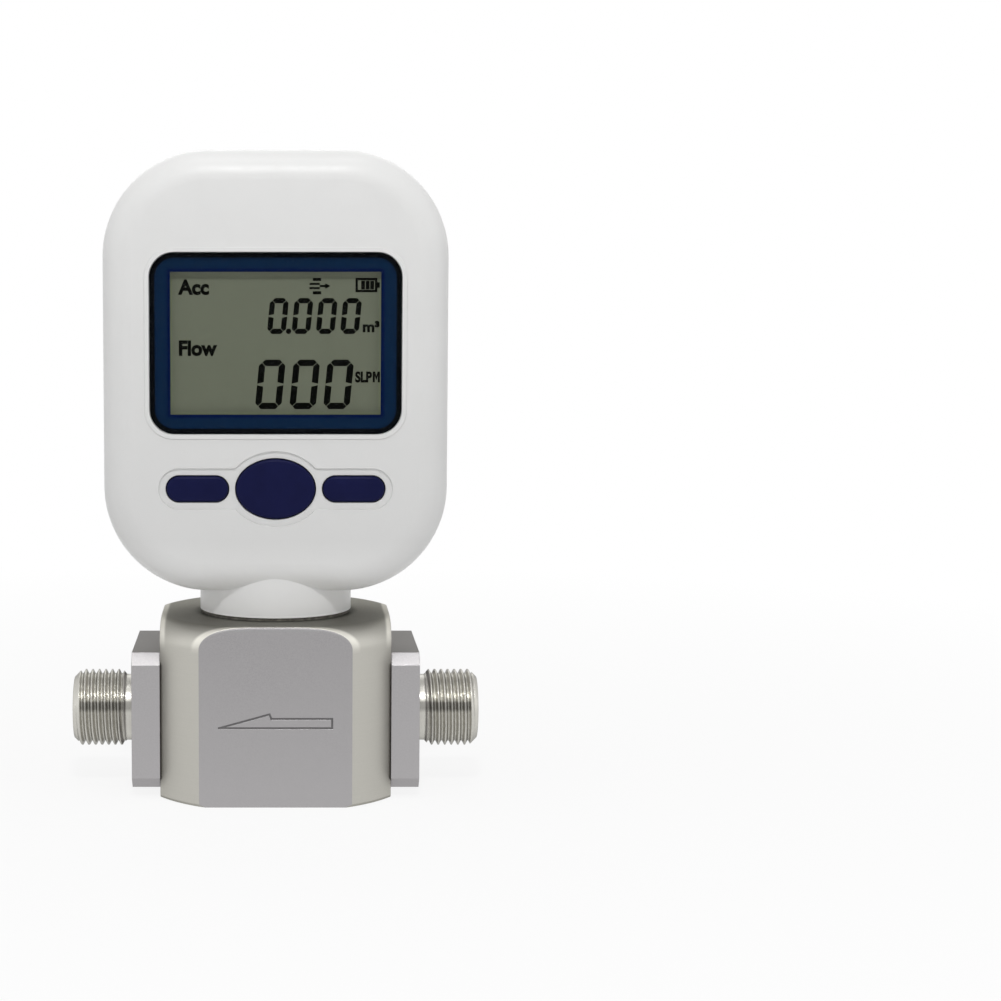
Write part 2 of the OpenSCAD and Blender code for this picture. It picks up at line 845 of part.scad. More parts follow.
module neck_gasket() {
    color("#2a2a2a") translate([0, 0, body_h])
        difference() {
            cylinder(h = neck_gap, d = neck_d - 2 * gasket_inset);
            translate([0, 0, -bite])
                cylinder(h = neck_gap + 2 * bite, d = post_d + 2 * hole_slip);
        }
}

module neck_screws() {
    color("#8f9092") at_neck_screws()
        socket_screw(neck_screw_d, neck_head_d, neck_head_h, post_floor + neck_screw_depth);
}

// Plug that carries the sensor board down into the gas channel
module sensor_carrier() {
    color("#2e2e30") difference() {
        union() {
            translate([0, 0, gas_z + channel_d / 2 + bite])
                cylinder(h = post_floor_z - gas_z - channel_d / 2, d = carrier_d);
            translate([0, 0, post_floor_z])
                cylinder(h = carrier_flange_t, d = carrier_flange_d);
        }
        translate([0, 0, carrier_groove_z])
            difference() {
                cylinder(h = seal_cord_d, d = carrier_d + bite);
                cylinder(h = seal_cord_d, d = carrier_groove_d);
            }
        translate([-(sensor_board_w + slip) / 2, -(sensor_board_t + slip) / 2, 0])
            cube([sensor_board_w + slip, sensor_board_t + slip, far]);
        at_sensor_screws()
            translate([0, 0, -far / 2])
                cylinder(h = far, d = sensor_screw_d + 2 * hole_slip);
    }
}

module sensor_seal() {
    section = (carrier_d - carrier_groove_d) / 2;
    color("#1c1c1c") translate([0, 0, carrier_groove_z + seal_cord_d / 2])
        rotate_extrude()
            translate([carrier_d / 2 - section / 2, 0])
                circle(d = section);
}

module sensor_board() {
    color("#2f6b3c") translate([-sensor_board_w / 2, -sensor_board_t / 2, sensor_board_bottom])
        cube([sensor_board_w, sensor_board_t, sensor_board_top - sensor_board_bottom]);
}

module sensor_chip() {
    color("#c9b26a") translate([-chip_w / 2, -sensor_board_t / 2 - chip_t, gas_z - chip_w / 2])
        cube([chip_w, chip_t, chip_w]);
}

module sensor_screws() {
    color("#8f9092") at_sensor_screws()
        socket_screw(sensor_screw_d, sensor_head_d, sensor_head_h, sensor_screw_l);
}

// Flat cable from the sensor board up to the socket on the main board
module sensor_ribbon() {
    steps = 24;
    reach = -(board_back - socket_t / 2);
    rise = socket_z - sensor_board_top;
    function ease(t) = t * t * (3 - 2 * t);
    function strip(side) = [for (i = [0:steps]) [reach * ease(i / steps) + side * ribbon_t / 2,
        sensor_board_top + rise * i / steps]];
    back = strip(1);
    color("#c8c4b8") rotate([90, 0, 90])
        linear_extrude(height = ribbon_w, center = true)
            polygon(concat(strip(-1), [for (i = [0:steps]) back[steps - i]]));
}

module front_shell() {
    color("#e6e5e2") difference() {
        union() {
            difference() {
                union() {
                    case_solid(0, -head_front, seam_front, front_edge_r, 0);
                    intersection() {
                        translate([0, 0, neck_z])
                            cylinder(h = post_h + neck_gap, d = neck_d);
                        span([-far, far], [-far, seam_front], [0, far]);
                    }
                }
                case_solid(front_wall, -front_inner, seam_front + front_wall, front_edge_r - front_wall, 0);
                case_solid(front_wall / 2, seam_y - seam_lip - slip, seam_front + front_wall, 0, 0);
            }
            plate_y(window_w + 2 * lip_w, window_h + 2 * lip_w, window_r + lip_w, window_z,
                -head_front - lip_h, -ledge_back);
            for (p = board_screw_places)
                bar_y(p[0], p[1], -front_inner - bite, -board_y, board_post_d);
            for (p = shell_screw_places)
                bar_y(p[0], p[1], -front_inner - bite, mid_wall_y, shell_post_d);
        }
        neck_hollow();
        plate_y(window_w, window_h, window_r, window_z, -far, -ledge_face);
        plate_y(view_w + 2 * ledge_margin, view_h + 2 * ledge_margin, 2 * ledge_margin, window_z, -far, 0);
        key_recess();
        key_holes();
        for (p = board_screw_places)
            bar_y(p[0], p[1], -board_y - 3 * board_post_d / 4 - bite, 0, board_screw_d + 2 * thread_slip);
        for (p = shell_screw_places)
            bar_y(p[0], p[1], -board_y, far, shell_screw_d + 2 * thread_slip);
    }
}

// Inside of the neck, with the groove that grips the post's rib
module neck_hollow() {
    translate([0, 0, neck_z - bite])
        cylinder(h = post_h + neck_gap + bite, d = post_d + 2 * hole_slip);
    translate([0, 0, body_h + post_rib_z - hole_slip])
        cylinder(h = post_rib_t + 2 * hole_slip, d = post_rib_d + 2 * hole_slip);
}

module rear_housing() {
    color("#e4e2dd") difference() {
        union() {
            difference() {
                union() {
                    case_solid(0, seam_rear, head_rear, 0, rear_edge_r);
                    intersection() {
                        translate([0, 0, neck_z])
                            cylinder(h = post_h + neck_gap, d = neck_d);
                        span([-far, far], [seam_rear, far], [0, far]);
                    }
                }
                case_solid(front_wall, seam_rear - front_wall, mid_wall_y, 0, 0);
                case_solid(front_wall, bay_y, rear_inner, 0, rear_edge_r - rear_wall);
            }
            seam_ring();
            rail_blocks();
            span([-flange_inner_x - bite, flange_inner_x + bite], [rail_front_y, rear_inner - hole_slip],
                [cover_bottom - 3 * groove_w, flange_z - hole_slip]);
            for (side = [-1, 1])
                bar_y(side * lower_screw_x, lower_screw_z, bay_y - bite, rear_inner + bite,
                    plug_d + 2 * rear_wall);
        }
        neck_hollow();
        span([-far, far], [cap_y, far], [shoulder_z, far]);
        span([-groove_x, groove_x], [rear_inner - hole_slip, far], [cover_bottom - groove_w, far]);
        span([-groove_x, groove_x], [flange_y - slip, far], [flange_z - hole_slip, far]);
        span([-flange_outer_x - slip, flange_outer_x + slip], [flange_y - slip, flange_y + flange_t + slip],
            [flange_z - hole_slip, far]);
        for (side = [-1, 1])
            bar_y(side * lower_screw_x, lower_screw_z, bay_y, far, plug_d + 2 * hole_slip);
        for (p = shell_screw_places)
            bar_y(p[0], p[1], 0, bay_y + bite, shell_screw_d + 2 * hole_slip);
        lead_holes();
    }
    color("#e4e2dd") screw_ear();
}

// Lip on the rear housing that sits inside the front shell
module seam_ring() {
    difference() {
        case_solid(front_wall / 2 + thread_slip * 2, seam_y - seam_lip, mid_wall_y, 0, 0);
        case_solid(front_wall, seam_y - seam_lip - bite, mid_wall_y + bite, 0, 0);
        translate([0, 0, head_bottom])
            cylinder(h = post_h, d = neck_d, center = true);
    }
}

// Side blocks that hold the cover's rails
module rail_blocks() {
    intersection() {
        case_solid(slip, rail_front_y, head_rear - slip, 0, rear_edge_r - slip);
        both_sides([rail_inner_x, far], [rail_front_y, head_rear],
            [head_bottom + head_corner_r / 2, shoulder_z]);
    }
}

// Open-topped fork behind the cover screw
module screw_ear() {
    difference() {
        union() {
            span([-ear_half_w, ear_half_w], [ear_face - ear_t, ear_face], [ear_bottom, ear_top]);
            both_sides([ear_half_w - ear_rib_t, ear_half_w], [bay_y, ear_face], [ear_bottom, ear_top]);
        }
        bar_y(0, cover_screw_z, 0, far, cover_screw_d + 2 * hole_slip);
        span([-cover_screw_d / 2 - hole_slip, cover_screw_d / 2 + hole_slip], [0, far],
            [cover_screw_z, far]);
    }
}

module shell_screws() {
    color("#8f9092") for (p = shell_screw_places)
        screw_y(p[0], p[1], bay_y, shell_screw_d, shell_head_d, shell_head_h, bay_y + board_back);
}

module screw_plugs() {
    color("#e8e7e3") for (side = [-1, 1])
        bar_y(side * lower_screw_x, lower_screw_z, head_rear - slip - plug_t, head_rear - slip, plug_d);
}

module display_window() {
    color("#d9e6ee", 0.3) plate_y(window_w - 2 * slip, window_h - 2 * slip, window_r - slip, window_z,
        -window_face, -mask_face);
}

module window_frame() {
    color("#0e2148") difference() {
        plate_y(window_w - 2 * slip, window_h - 2 * slip, window_r - slip, window_z, -mask_face, -ledge_face);
        plate_y(view_w, view_h, slip, window_z, -far, 0);
    }
}

module display_glass() {
    color("#6b6f62") plate_y(view_w + 2 * glass_margin, view_h + 2 * glass_margin, slip, window_z,
        -glass_face, -glass_back);
}

module display_holder() {
    w = view_w + 2 * glass_margin + 2 * slip;
    h = view_h + 2 * glass_margin + 2 * slip;
    color("#d8d8d4") difference() {
        plate_y(w + 2 * holder_wall, h + 2 * holder_wall, holder_wall, window_z, -ledge_back, -board_y);
        plate_y(w, h, slip, window_z, -far, -glass_back);
        plate_y(w - 2 * holder_wall, h - 2 * holder_wall, slip, window_z, -glass_back + holder_wall, 0);
    }
}

module main_board() {
    color("#1f6b3a") difference() {
        plate_y(board_w, board_h, board_r, board_bottom + board_h / 2, -board_y, -board_back);
        for (p = board_screw_places)
            bar_y(p[0], p[1], -far, far, board_screw_d + 2 * hole_slip);
        for (side = [-1, 1])
            bar_y(side * upper_screw_x, upper_screw_z, -far, far, shell_post_d + 2 * hole_slip);
    }
}

// Block on a face of the board at y, facing -Y or +Y, from its shares
module board_block(p, y, facing) {
    w = p[2] * board_w;
    h = p[3] * board_h;
    t = p[4] * board_t;
    translate([p[0] * board_w - w / 2, facing < 0 ? y - t : y, board_bottom + p[1] * board_h - h / 2])
        cube([w, t, h]);
}

// Chips and capacitors on both faces of the board, and the two sockets
module board_parts() {
    color("#26282b") {
        for (p = rear_part_shares)
            board_block(p, -board_back, 1);
        for (p = front_part_shares)
            board_block(p, -board_y, -1);
        translate([-socket_w / 2, -board_back, socket_z])
            cube([socket_w, socket_t, socket_h]);
        translate([lead_x - lead_socket_shift - lead_socket_w / 2, -board_back, lead_z - lead_socket_h / 2])
            cube([lead_socket_w, lead_socket_t, lead_socket_h]);
    }
}

module key_switches() {
    color("#3a3a3c") for (x = [-side_key_x, 0, side_key_x]) {
        translate([x - switch_w / 2, -board_y - switch_h, key_z - switch_w / 2])
            cube([switch_w, switch_h, switch_w]);
        bar_y(x, key_z, -plunger_tip, -board_y - bite, plunger_d);
    }
}

module board_screws() {
    color("#8f9092") for (p = board_screw_places)
        screw_y(p[0], p[1], -board_back, board_screw_d, 2 * board_screw_d, board_t,
            board_t + board_post_d / 2);
}

// A key: the cap in its hole, a bevelled front edge and the flange that keeps it in
module key_shape(x) {
    key_place(x, -key_face + key_bevel, -key_back)
        children(0);
    key_place(x, -key_face, -key_back)
        children(1);
    key_place(x, -key_flange_face, -key_back)
        children(2);
}

module side_key(x) {
    key_shape(x) {
        side_key_outline(0);
        side_key_outline(-key_bevel);
        side_key_outline(key_clearance + key_flange_w);
    }
}

module left_key() {
    color("#1c1a50") side_key(-side_key_x);
}

module right_key() {
    color("#1c1a50") side_key(side_key_x);
}

module centre_key() {
    color("#1c1a50") key_shape(0) {
        centre_key_outline(0);
        centre_key_outline(-key_bevel);
        centre_key_outline(key_clearance + key_flange_w / 2);
    }
}

module battery_tray() {
    top_y = cell_y + cell_d / 6;
    half_w = tray_w / 2;
    color("#3b3d40") difference() {
        span([-half_w - tray_wall, half_w + tray_wall], [bay_y, top_y],
            [tray_z - tray_wall, tray_z + tray_l + tray_wall]);
        span([-half_w, half_w], [bay_y + tray_floor_t, far], [tray_z, tray_z + tray_l]);
    }
    color("#3b3d40") for (i = [1:cell_count - 1])
        span([-half_w + slip + i * cell_pitch - bite, -half_w + slip + i * cell_pitch + bite],
            [bay_y, bay_y + tray_floor_t + cell_d / 6], [tray_z, tray_z + tray_l]);
}

function cell_x(i) = (i - (cell_count - 1) / 2) * cell_pitch;
function cell_up(i) = i % 2 == 0;

// Places of the cells, each with its button end up or down in turn
module at_cells() {
    for (i = [0:cell_count - 1])
        translate([cell_x(i), cell_y, tray_z + tray_l / 2])
            rotate([0, cell_up(i) ? 0 : 180, 0])
                translate([0, 0, tray_l / 2 - plate_t])
                    children();
}

module batteries() {
    color("#3f6f9c") at_cells() {
        translate([0, 0, -button_h - cell_l])
            cylinder(h = cell_l, d = cell_d);
        translate([0, 0, -button_h - bite])
            cylinder(h = button_h + bite, d = button_d);
    }
}

// Conical wire coil as a swept tube
module battery_springs() {
    sides = 6;
    steps = 56;
    room = spring_l - spring_wire_d;
    small_r = cell_d / 7;
    large_r = cell_d / 3;
    function coil(t) = let (a = 360 * spring_turns * t, r = small_r + (large_r - small_r) * t)
        [r * cos(a), r * sin(a), -room * t];
    function ring(t) = let (a = 360 * spring_turns * t, c = coil(t))
        [for (k = [0:sides - 1]) let (b = 360 * k / sides)
            c + spring_wire_d / 2 * [cos(b) * cos(a), cos(b) * sin(a), sin(b)]];
    points = [for (i = [0:steps]) each ring(i / steps)];
    walls = [for (i = [0:steps - 1], k = [0:sides - 1])
        let (n = (k + 1) % sides, a = i * sides, b = a + sides)
            each [[a + k, b + k, b + n], [a + k, b + n, a + n]]];
    top = steps * sides;
    ends = [for (k = [1:sides - 2]) each [[0, k, k + 1], [top, top + k + 1, top + k]]];
    color("#c9ccce") at_cells()
        translate([0, 0, -button_h - cell_l - spring_wire_d / 2])
            polyhedron(points, concat(walls, ends));
}

module battery_plates() {
    w = cell_d * plate_share;
    color("#c9ccce") for (i = [0:cell_count - 1], z = [tray_z, tray_z + tray_l - plate_t])
        span([cell_x(i) - w / 2, cell_x(i) + w / 2], [bay_y + tray_floor_t, cell_y + cell_d / 8],
            [z, z + plate_t]);
}

// Two leads from the tray, through the middle wall, to the socket on the board
module lead_runs(d, y1) {
    for (i = [0, 1])
        bar_y(lead_x, lead_z - lead_gap / 2 + i * lead_gap, lead_socket_t - board_back, y1, d);
}

module lead_holes() {
    lead_runs(lead_d + 2 * hole_slip, bay_y + bite);
}

module battery_leads() {
    y1 = bay_y + tray_floor_t;
    color("#b3262a") {
        lead_runs(lead_d, y1);
        for (i = [0, 1])
            translate([tray_w / 2 + tray_wall, y1, lead_z - lead_gap / 2 + i * lead_gap]) {
                rotate([0, 90, 0])
                    cylinder(h = lead_x - tray_w / 2 - tray_wall, d = lead_d);
                translate([lead_x - tray_w / 2 - tray_wall, 0, 0])
                    sphere(d = lead_d);
            }
    }
}

// Cover: a full-width cap at the top and a narrower tongue that runs down between the rails
module battery_cover() {
    half_w = cover_w / 2;
    cap_low = shoulder_z + groove_w;
    color("#e6e4df") difference() {
        union() {
            difference() {
                intersection() {
                    case_solid(0, cap_y + slip, head_rear, 0, rear_edge_r);
                    union() {
                        span([-far, far], [0, far], [cap_low, far]);
                        span([-half_w, half_w], [0, far], [cover_bottom, far]);
                    }
                }
                case_solid(rear_wall, 0, rear_inner, 0, rear_edge_r - rear_wall);
            }
            both_sides([flange_inner_x, half_w], [flange_y, rear_inner + bite], [flange_z, flange_top]);
            both_sides([flange_inner_x, flange_outer_x], [flange_y, flange_y + flange_t],
                [flange_z, flange_top]);
            bar_y(0, cover_screw_z, boss_face, rear_inner + bite, boss_d);
            for (i = [0:ridge_count - 1])
                translate([0, head_rear - ridge_h / 2, ridge_z + i * ridge_pitch])
                    rotate([0, 90, 0])
                        cylinder(h = ridge_w, r = ridge_h * 1.5, center = true);
        }
        bar_y(0, cover_screw_z, 0, far, cover_screw_d + 2 * hole_slip);
        bar_y(0, cover_screw_z, cover_seat_y, far, cover_screw_hole_d);
    }
}

module cover_screw() {
    l = cover_head_y - nut_face + nut_t + bite;
    color("#a3a3a0") translate([0, cover_head_y, cover_screw_z])
        rotate([-90, 0, 0])
            difference() {
                union() {
                    cylinder(h = cover_head_h, d = cover_head_d);
                    translate([0, 0, -l])
                        cylinder(h = l + bite, d = cover_screw_d);
                }
                star_socket();
            }
}

// Six-lobed socket with a pin in its middle
module star_socket() {
    translate([0, 0, cover_head_h - star_depth])
        difference() {
            union() {
                cylinder(h = star_depth + bite, r = star_r);
                for (i = [0:5])
                    rotate([0, 0, 60 * i])
                        translate([star_r, 0, 0])
                            cylinder(h = star_depth + bite, r = star_lobe_r);
            }
            translate([0, 0, -bite])
                cylinder(h = star_depth + bite, d = star_pin_d);
        }
}

module cover_washer() {
    color("#161616") difference() {
        bar_y(0, cover_screw_z, cover_seat_y, cover_head_y, washer_d);
        bar_y(0, cover_screw_z, cover_seat_y - bite, cover_head_y + bite, cover_screw_d + 2 * hole_slip);
    }
}

module cover_nut() {
    color("#b9bbbd") translate([0, nut_face, cover_screw_z])
        rotate([90, 0, 0])
            difference() {
                cylinder(h = nut_t, d = nut_af / cos(30), $fn = 6);
                translate([0, 0, -bite])
                    cylinder(h = nut_t + 2 * bite, d = cover_screw_d + 2 * thread_slip);
            }
}

module rating_label() {
    color("#b4b4b8") plate_y(rating_w, rating_h, label_r, rating_z, head_rear, head_rear + label_t);
}

module serial_label() {
    color("#b4b4b8") plate_y(serial_w, serial_h, label_r / 2, serial_z, head_rear, head_rear + label_t);
}

flow_body();
inlet_block();
outlet_block();
inlet_nipple();
outlet_nipple();
block_seals();
block_screws();
flow_straightener();
neck_post();
neck_gasket();
neck_screws();
sensor_carrier();
sensor_seal();
sensor_board();
sensor_chip();
sensor_screws();
sensor_ribbon();
front_shell();
rear_housing();
shell_screws();
screw_plugs();
display_window();
window_frame();
display_glass();
display_holder();
main_board();
board_parts();
key_switches();
board_screws();
left_key();
centre_key();
right_key();
battery_tray();
batteries();
battery_springs();
battery_plates();
battery_leads();
battery_cover();
cover_screw();
cover_washer();
cover_nut();
rating_label();
serial_label();
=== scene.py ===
"""Looks of a portable gas flow meter: a white head with a display and three keys on a metal flow body.

Every piece is in metres in the frame of the CAD model: X to the right, the front towards -Y, Z up.
"""
import math

import bpy
import numpy as np
from bpy.props import FloatProperty, FloatVectorProperty, PointerProperty
from bpy.types import Operator, Panel, PropertyGroup
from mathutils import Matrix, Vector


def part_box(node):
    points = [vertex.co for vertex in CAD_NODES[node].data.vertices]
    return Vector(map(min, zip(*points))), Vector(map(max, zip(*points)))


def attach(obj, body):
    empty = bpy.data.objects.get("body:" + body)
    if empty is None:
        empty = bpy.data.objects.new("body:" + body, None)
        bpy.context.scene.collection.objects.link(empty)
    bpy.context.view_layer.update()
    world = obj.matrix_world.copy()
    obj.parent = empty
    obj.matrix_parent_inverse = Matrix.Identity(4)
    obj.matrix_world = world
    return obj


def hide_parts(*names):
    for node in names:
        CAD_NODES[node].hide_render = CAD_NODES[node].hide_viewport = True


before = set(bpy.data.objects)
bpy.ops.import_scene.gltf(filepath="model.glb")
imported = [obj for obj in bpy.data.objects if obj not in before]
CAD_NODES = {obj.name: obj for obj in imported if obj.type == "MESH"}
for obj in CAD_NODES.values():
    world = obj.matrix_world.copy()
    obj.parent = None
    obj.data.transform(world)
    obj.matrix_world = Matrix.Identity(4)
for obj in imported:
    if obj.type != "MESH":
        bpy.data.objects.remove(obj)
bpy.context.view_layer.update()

bl_info = {
    "name": "Portable gas flow meter",
    "version": (1, 0, 0),
    "blender": (4, 5, 0),
    "location": "3D View > Sidebar > Flow meter",
    "description": "Dresses the flow meter's CAD model and lights it in a plain studio",
    "category": "Object",
}

MM = 0.001
METER = "meter"
COVER = "battery_cover"


def node_corners(name):
    """Low and high corner of a CAD node."""
    low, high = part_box(name)
    return np.array(low), np.array(high)


# Places that the CAD model gives, in metres
NIPPLE_LOW, NIPPLE_HIGH = node_corners("inlet_nipple")
BLOCK_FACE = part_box("inlet_block")[1].x
GAS_Z = (NIPPLE_LOW[2] + NIPPLE_HIGH[2]) / 2
WINDOW_LOW, WINDOW_HIGH = node_corners("display_window")
WINDOW_MIDDLE = (WINDOW_LOW + WINDOW_HIGH) / 2
DISPLAY_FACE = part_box("display_glass")[0].y
BODY_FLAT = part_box("flow_body")[1].y
NECK_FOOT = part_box("front_shell")[0].z


def tone(red, green, blue):
    """Linear colour of three screen values from 0 to 255."""
    share = np.array([red, green, blue]) / 255
    return tuple(np.where(share <= 0.04045, share / 12.92, ((share + 0.055) / 1.055) ** 2.4).tolist())


def length(name, description, default):
    """A length that a user may change."""
    return FloatProperty(name=name, description=description, default=default, min=0, unit="LENGTH",
                         precision=5)


def level(name, description, default, subtype="NONE"):
    """A plain number that a user may change and that is never below zero."""
    return FloatProperty(name=name, description=description, default=default, min=0, subtype=subtype)


def colour(name, description, default):
    """A colour that a user may change, with its default in screen values."""
    return FloatVectorProperty(name=name, description=description, default=tone(*default), min=0, max=1,
                               size=3, subtype="COLOR")


class MeterSizes(PropertyGroup):
    """Sizes of the pieces that are made here."""
    thread_pitch: length("Thread pitch", "Distance from one crest of the thread to the next", 1.814 * MM)
    thread_depth: length("Thread depth", "Height of a crest above the root", 1.162 * MM)
    thread_end: length("Thread end", "Length of the chamfer at the thread's free end", 2.0 * MM)
    relief: length("Relief length", "Plain neck between the block and the thread", 2.5 * MM)
    inlet_turn: level("Inlet turn", "Share of a turn that the inlet's thread is turned by", 0.41)
    outlet_turn: level("Outlet turn", "Share of a turn that the outlet's thread is turned by", 0.35)
    relief_radius: length("Relief radius", "Radius of the plain neck", 9.1 * MM)
    port_radius: length("Port radius", "Radius of the bore", 7.0 * MM)
    port_chamfer: length("Port chamfer", "Chamfer at the mouth of the bore", 0.6 * MM)
    spigot_radius: length("Spigot radius", "Radius of the part that sits in the block", 8.0 * MM)
    key_edge: length("Key edge radius", "Rounding round the face of a key", 0.75 * MM)
    key_crown: length("Key crown", "Rise of a key's face from its edge to its middle", 0.25 * MM)
    side_flange: length("Side key flange", "Width of the flange that keeps a side key in", 1.2 * MM)
    centre_flange: length("Centre key flange", "Width of the flange that keeps the centre key in", 0.75 * MM)
    flange_depth: length("Key flange depth", "Thickness of the keys' flanges", 1.0 * MM)
    pane_corner: length("Pane corner", "Corner radius of the display's pane", 6.55 * MM)
    pane_gap: length("Pane gap", "Sliver of air between the pane and the print behind it", 0.04 * MM)
    mark_depth: length("Mark thickness", "Thickness of the display's marks", 0.05 * MM)
    rule_width: length("Rule width", "Width of the labels' printed rules", 0.18 * MM)
    rule_depth: length("Rule thickness", "Thickness of the labels' printed rules", 0.02 * MM)
    soft_edge: length("Soft edge", "Radius that a machined or moulded edge shows", 0.25 * MM)
    body_edge: length("Body top edge", "Radius that the flow body's top edges show", 1.0 * MM)
    thread_edge: length("Worn thread", "Radius that the thread's crests and roots show", 0.6 * MM)
    grain: length("Blasted grain", "Size of the grain on the blasted metal", 0.42 * MM)


class MeterColours(PropertyGroup):
    """Colours of the finishes."""
    shell: colour("Shell", "White plastic of the head", (239, 239, 238))
    blasted: colour("Blasted metal", "Flats of the body and the blocks", (160, 158, 159))
    turned: colour("Turned metal", "Round corners of the body", (184, 182, 175))
    nipple: colour("Nipple steel", "Threaded nipples", (203, 201, 194))
    screw: colour("Screw steel", "Screws", (170, 169, 166))
    key: colour("Keys", "Navy of the three keys", (22, 25, 64))
    frame_navy: colour("Frame", "Navy printed round the display", (13, 38, 68))
    frame_line: colour("Frame line", "Bluer line at the frame's inner edge", (4, 22, 66))
    frame_edge: colour("Frame edge", "Near-black line at the frame's outer edge", (7, 9, 13))
    display: colour("Display", "Grey-olive of the display", (118, 122, 106))
    mark: colour("Display marks", "Marks that the display shows", (6, 7, 5))
    label: colour("Label foil", "Silver foil of the labels", (188, 188, 194))
    print_ink: colour("Label print", "Rules printed on the labels", (112, 112, 122))
    rubber: colour("Rubber", "Seals and washers", (18, 18, 18))
    gasket: colour("Gasket", "Grey ring between the neck and the flow body", (84, 82, 76))
    board: colour("Circuit board", "Solder mask of the boards", (24, 86, 48))


class StudioSettings(PropertyGroup):
    """Camera and light."""
    distance: length("Camera distance", "From the lens to the meter's axis", 0.610)
    height: length("Camera height", "Of the lens above the floor", 0.1425)
    pitch: level("Camera pitch", "Downward tilt", math.radians(6.0), "ANGLE")
    lens: level("Lens", "Focal length in millimetres on a 36 mm sensor", 80.34)
    shift: level("Sideways shift", "Share of the frame", 0.2247)
    sky: level("Sky level", "Light from all round", 0.42)
    key_light: level("Key lamp", "Power of the small lamp above the camera", 1.55, "POWER")
    top_light: level("Top lamp", "Power of the lamp over the meter", 0.85, "POWER")
    side_light: level("Side lamps", "Power of each lamp beside the meter", 1.0, "POWER")
    back_light: level("Back lamp", "Power of the lamp behind the meter", 2.0, "POWER")
    floor_radius: length("Floor radius", "Of the round floor", 3.0)
    shadow: level("Floor shadow", "Share of the floor's own shade that shows", 0.14)


def settings():
    """Sizes, colours and studio of the scene."""
    scene = bpy.context.scene
    return scene.meter_sizes, scene.meter_colours, scene.meter_studio


# Meshes

def grid_faces(rows, columns, wrap_rows=False, wrap_columns=True):
    """Quads of a grid of points that is stored row after row: each joins a point to the next in its row and
    to the same two in the next row."""
    i = np.arange(rows if wrap_rows else rows - 1)[:, None]
    j = np.arange(columns if wrap_columns else columns - 1)[None, :]
    across = (j + 1) % columns
    below = (i + 1) % rows
    corners = (i, j), (i, across), (below, across), (below, j)
    return np.stack([row * columns + column for row, column in corners], -1).reshape(-1, 4)


def face_outwards(points, quads):
    """The quads, turned over if the volume that they enclose comes out negative. The volume is the sum of
    a . (b x c) / 6 over the two triangles of each quad."""
    a, b, c, d = (points[quads[:, k]] for k in range(4))
    volume = (a * np.cross(b, c)).sum() + (a * np.cross(c, d)).sum()
    return quads if volume > 0 else quads[:, ::-1]


def capped_rings(points, columns):
    """Faces of rings of points, with one face over the first ring and one over the last."""
    rows = len(points) // columns
    quads = grid_faces(rows, columns)
    outwards = face_outwards(points, quads)
    ring = np.arange(columns)
    first, last = ring[::-1], ring + (rows - 1) * columns
    if not np.array_equal(outwards, quads):
        first, last = first[::-1], last[::-1]
    return outwards.tolist() + [first.tolist(), last.tolist()]


def add_piece(name, points, faces, body, finish, smooth=True, sharp_angle=None):
    """A mesh object at the origin that rides on a body."""
    mesh = bpy.data.meshes.new(name)
    mesh.from_pydata(points.tolist(), [], faces if isinstance(faces, list) else faces.tolist())
    mesh.validate()
    if smooth:
        mesh.shade_smooth()
        if sharp_angle is not None:
            mesh.set_sharp_from_angle(angle=math.radians(sharp_angle))
    piece = bpy.data.objects.new(name, mesh)
    bpy.context.scene.collection.objects.link(piece)
    mesh.materials.append(finish)
    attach(piece, body)
    return piece


def full_turn(steps, first=0.0):
    """Angles of even steps round a circle, of which the first lies a share of a step past zero."""
    return (np.arange(steps) + first) * 2 * math.pi / steps


def upright(outline, depth):
    """Points of an outline in X and Z that stands at a depth."""
    return np.column_stack([outline[:, 0], np.full(len(outline), depth), outline[:, 1]])


def prisms(outlines, front, back):
    """Flat plates with the given outlines, each an array of (x, z) points that runs anticlockwise seen from
    the front. A plate joins the outline at depth front to the same outline at depth back."""
    points, faces, start = [], [], 0
    for outline in outlines:
        n = len(outline)
        points += [upright(outline, front), upright(outline, back)]
        ring = np.arange(n)
        after = (ring + 1) % n
        faces.append((start + ring).tolist())
        faces.append((start + n + ring[::-1]).tolist())
        faces += (start + np.column_stack([ring, ring + n, after + n, after])).tolist()
        start += 2 * n
    return np.vstack(points), faces


def bar(x0, z0, x1, z1):
    """Outline of an upright rectangle."""
    return np.array([(x0, z0), (x1, z0), (x1, z1), (x0, z1)])


def disc(x, z, radius, sides):
    """Outline of a circle: (x + r cos a, z + r sin a)."""
    turn = full_turn(sides)
    return np.column_stack([x + radius * np.cos(turn), z + radius * np.sin(turn)])


def rounded_bar(low, high, radius):
    """Outline of an upright rectangle with round corners, each a quarter circle round its own centre."""
    turn = np.linspace(0, math.pi / 2, 13)
    right, left = high[0] - radius, low[0] + radius
    top, bottom = high[1] - radius, low[1] + radius
    outline = []
    for x, z, quarter in ((right, bottom, -1), (right, top, 0), (left, top, 1), (left, bottom, 2)):
        angle = quarter * math.pi / 2 + turn
        outline.append(np.column_stack([x + radius * np.cos(angle), z + radius * np.sin(angle)]))
    return np.vstack(outline)


def hollow_bar(x0, z0, x1, z1, width):
    """Outlines of the four bars of a rectangular line."""
    return [bar(x0, z1 - width, x1, z1), bar(x0, z0, x1, z0 + width),
            bar(x0, z0 + width, x0 + width, z1 - width), bar(x1 - width, z0 + width, x1, z1 - width)]


# Materials

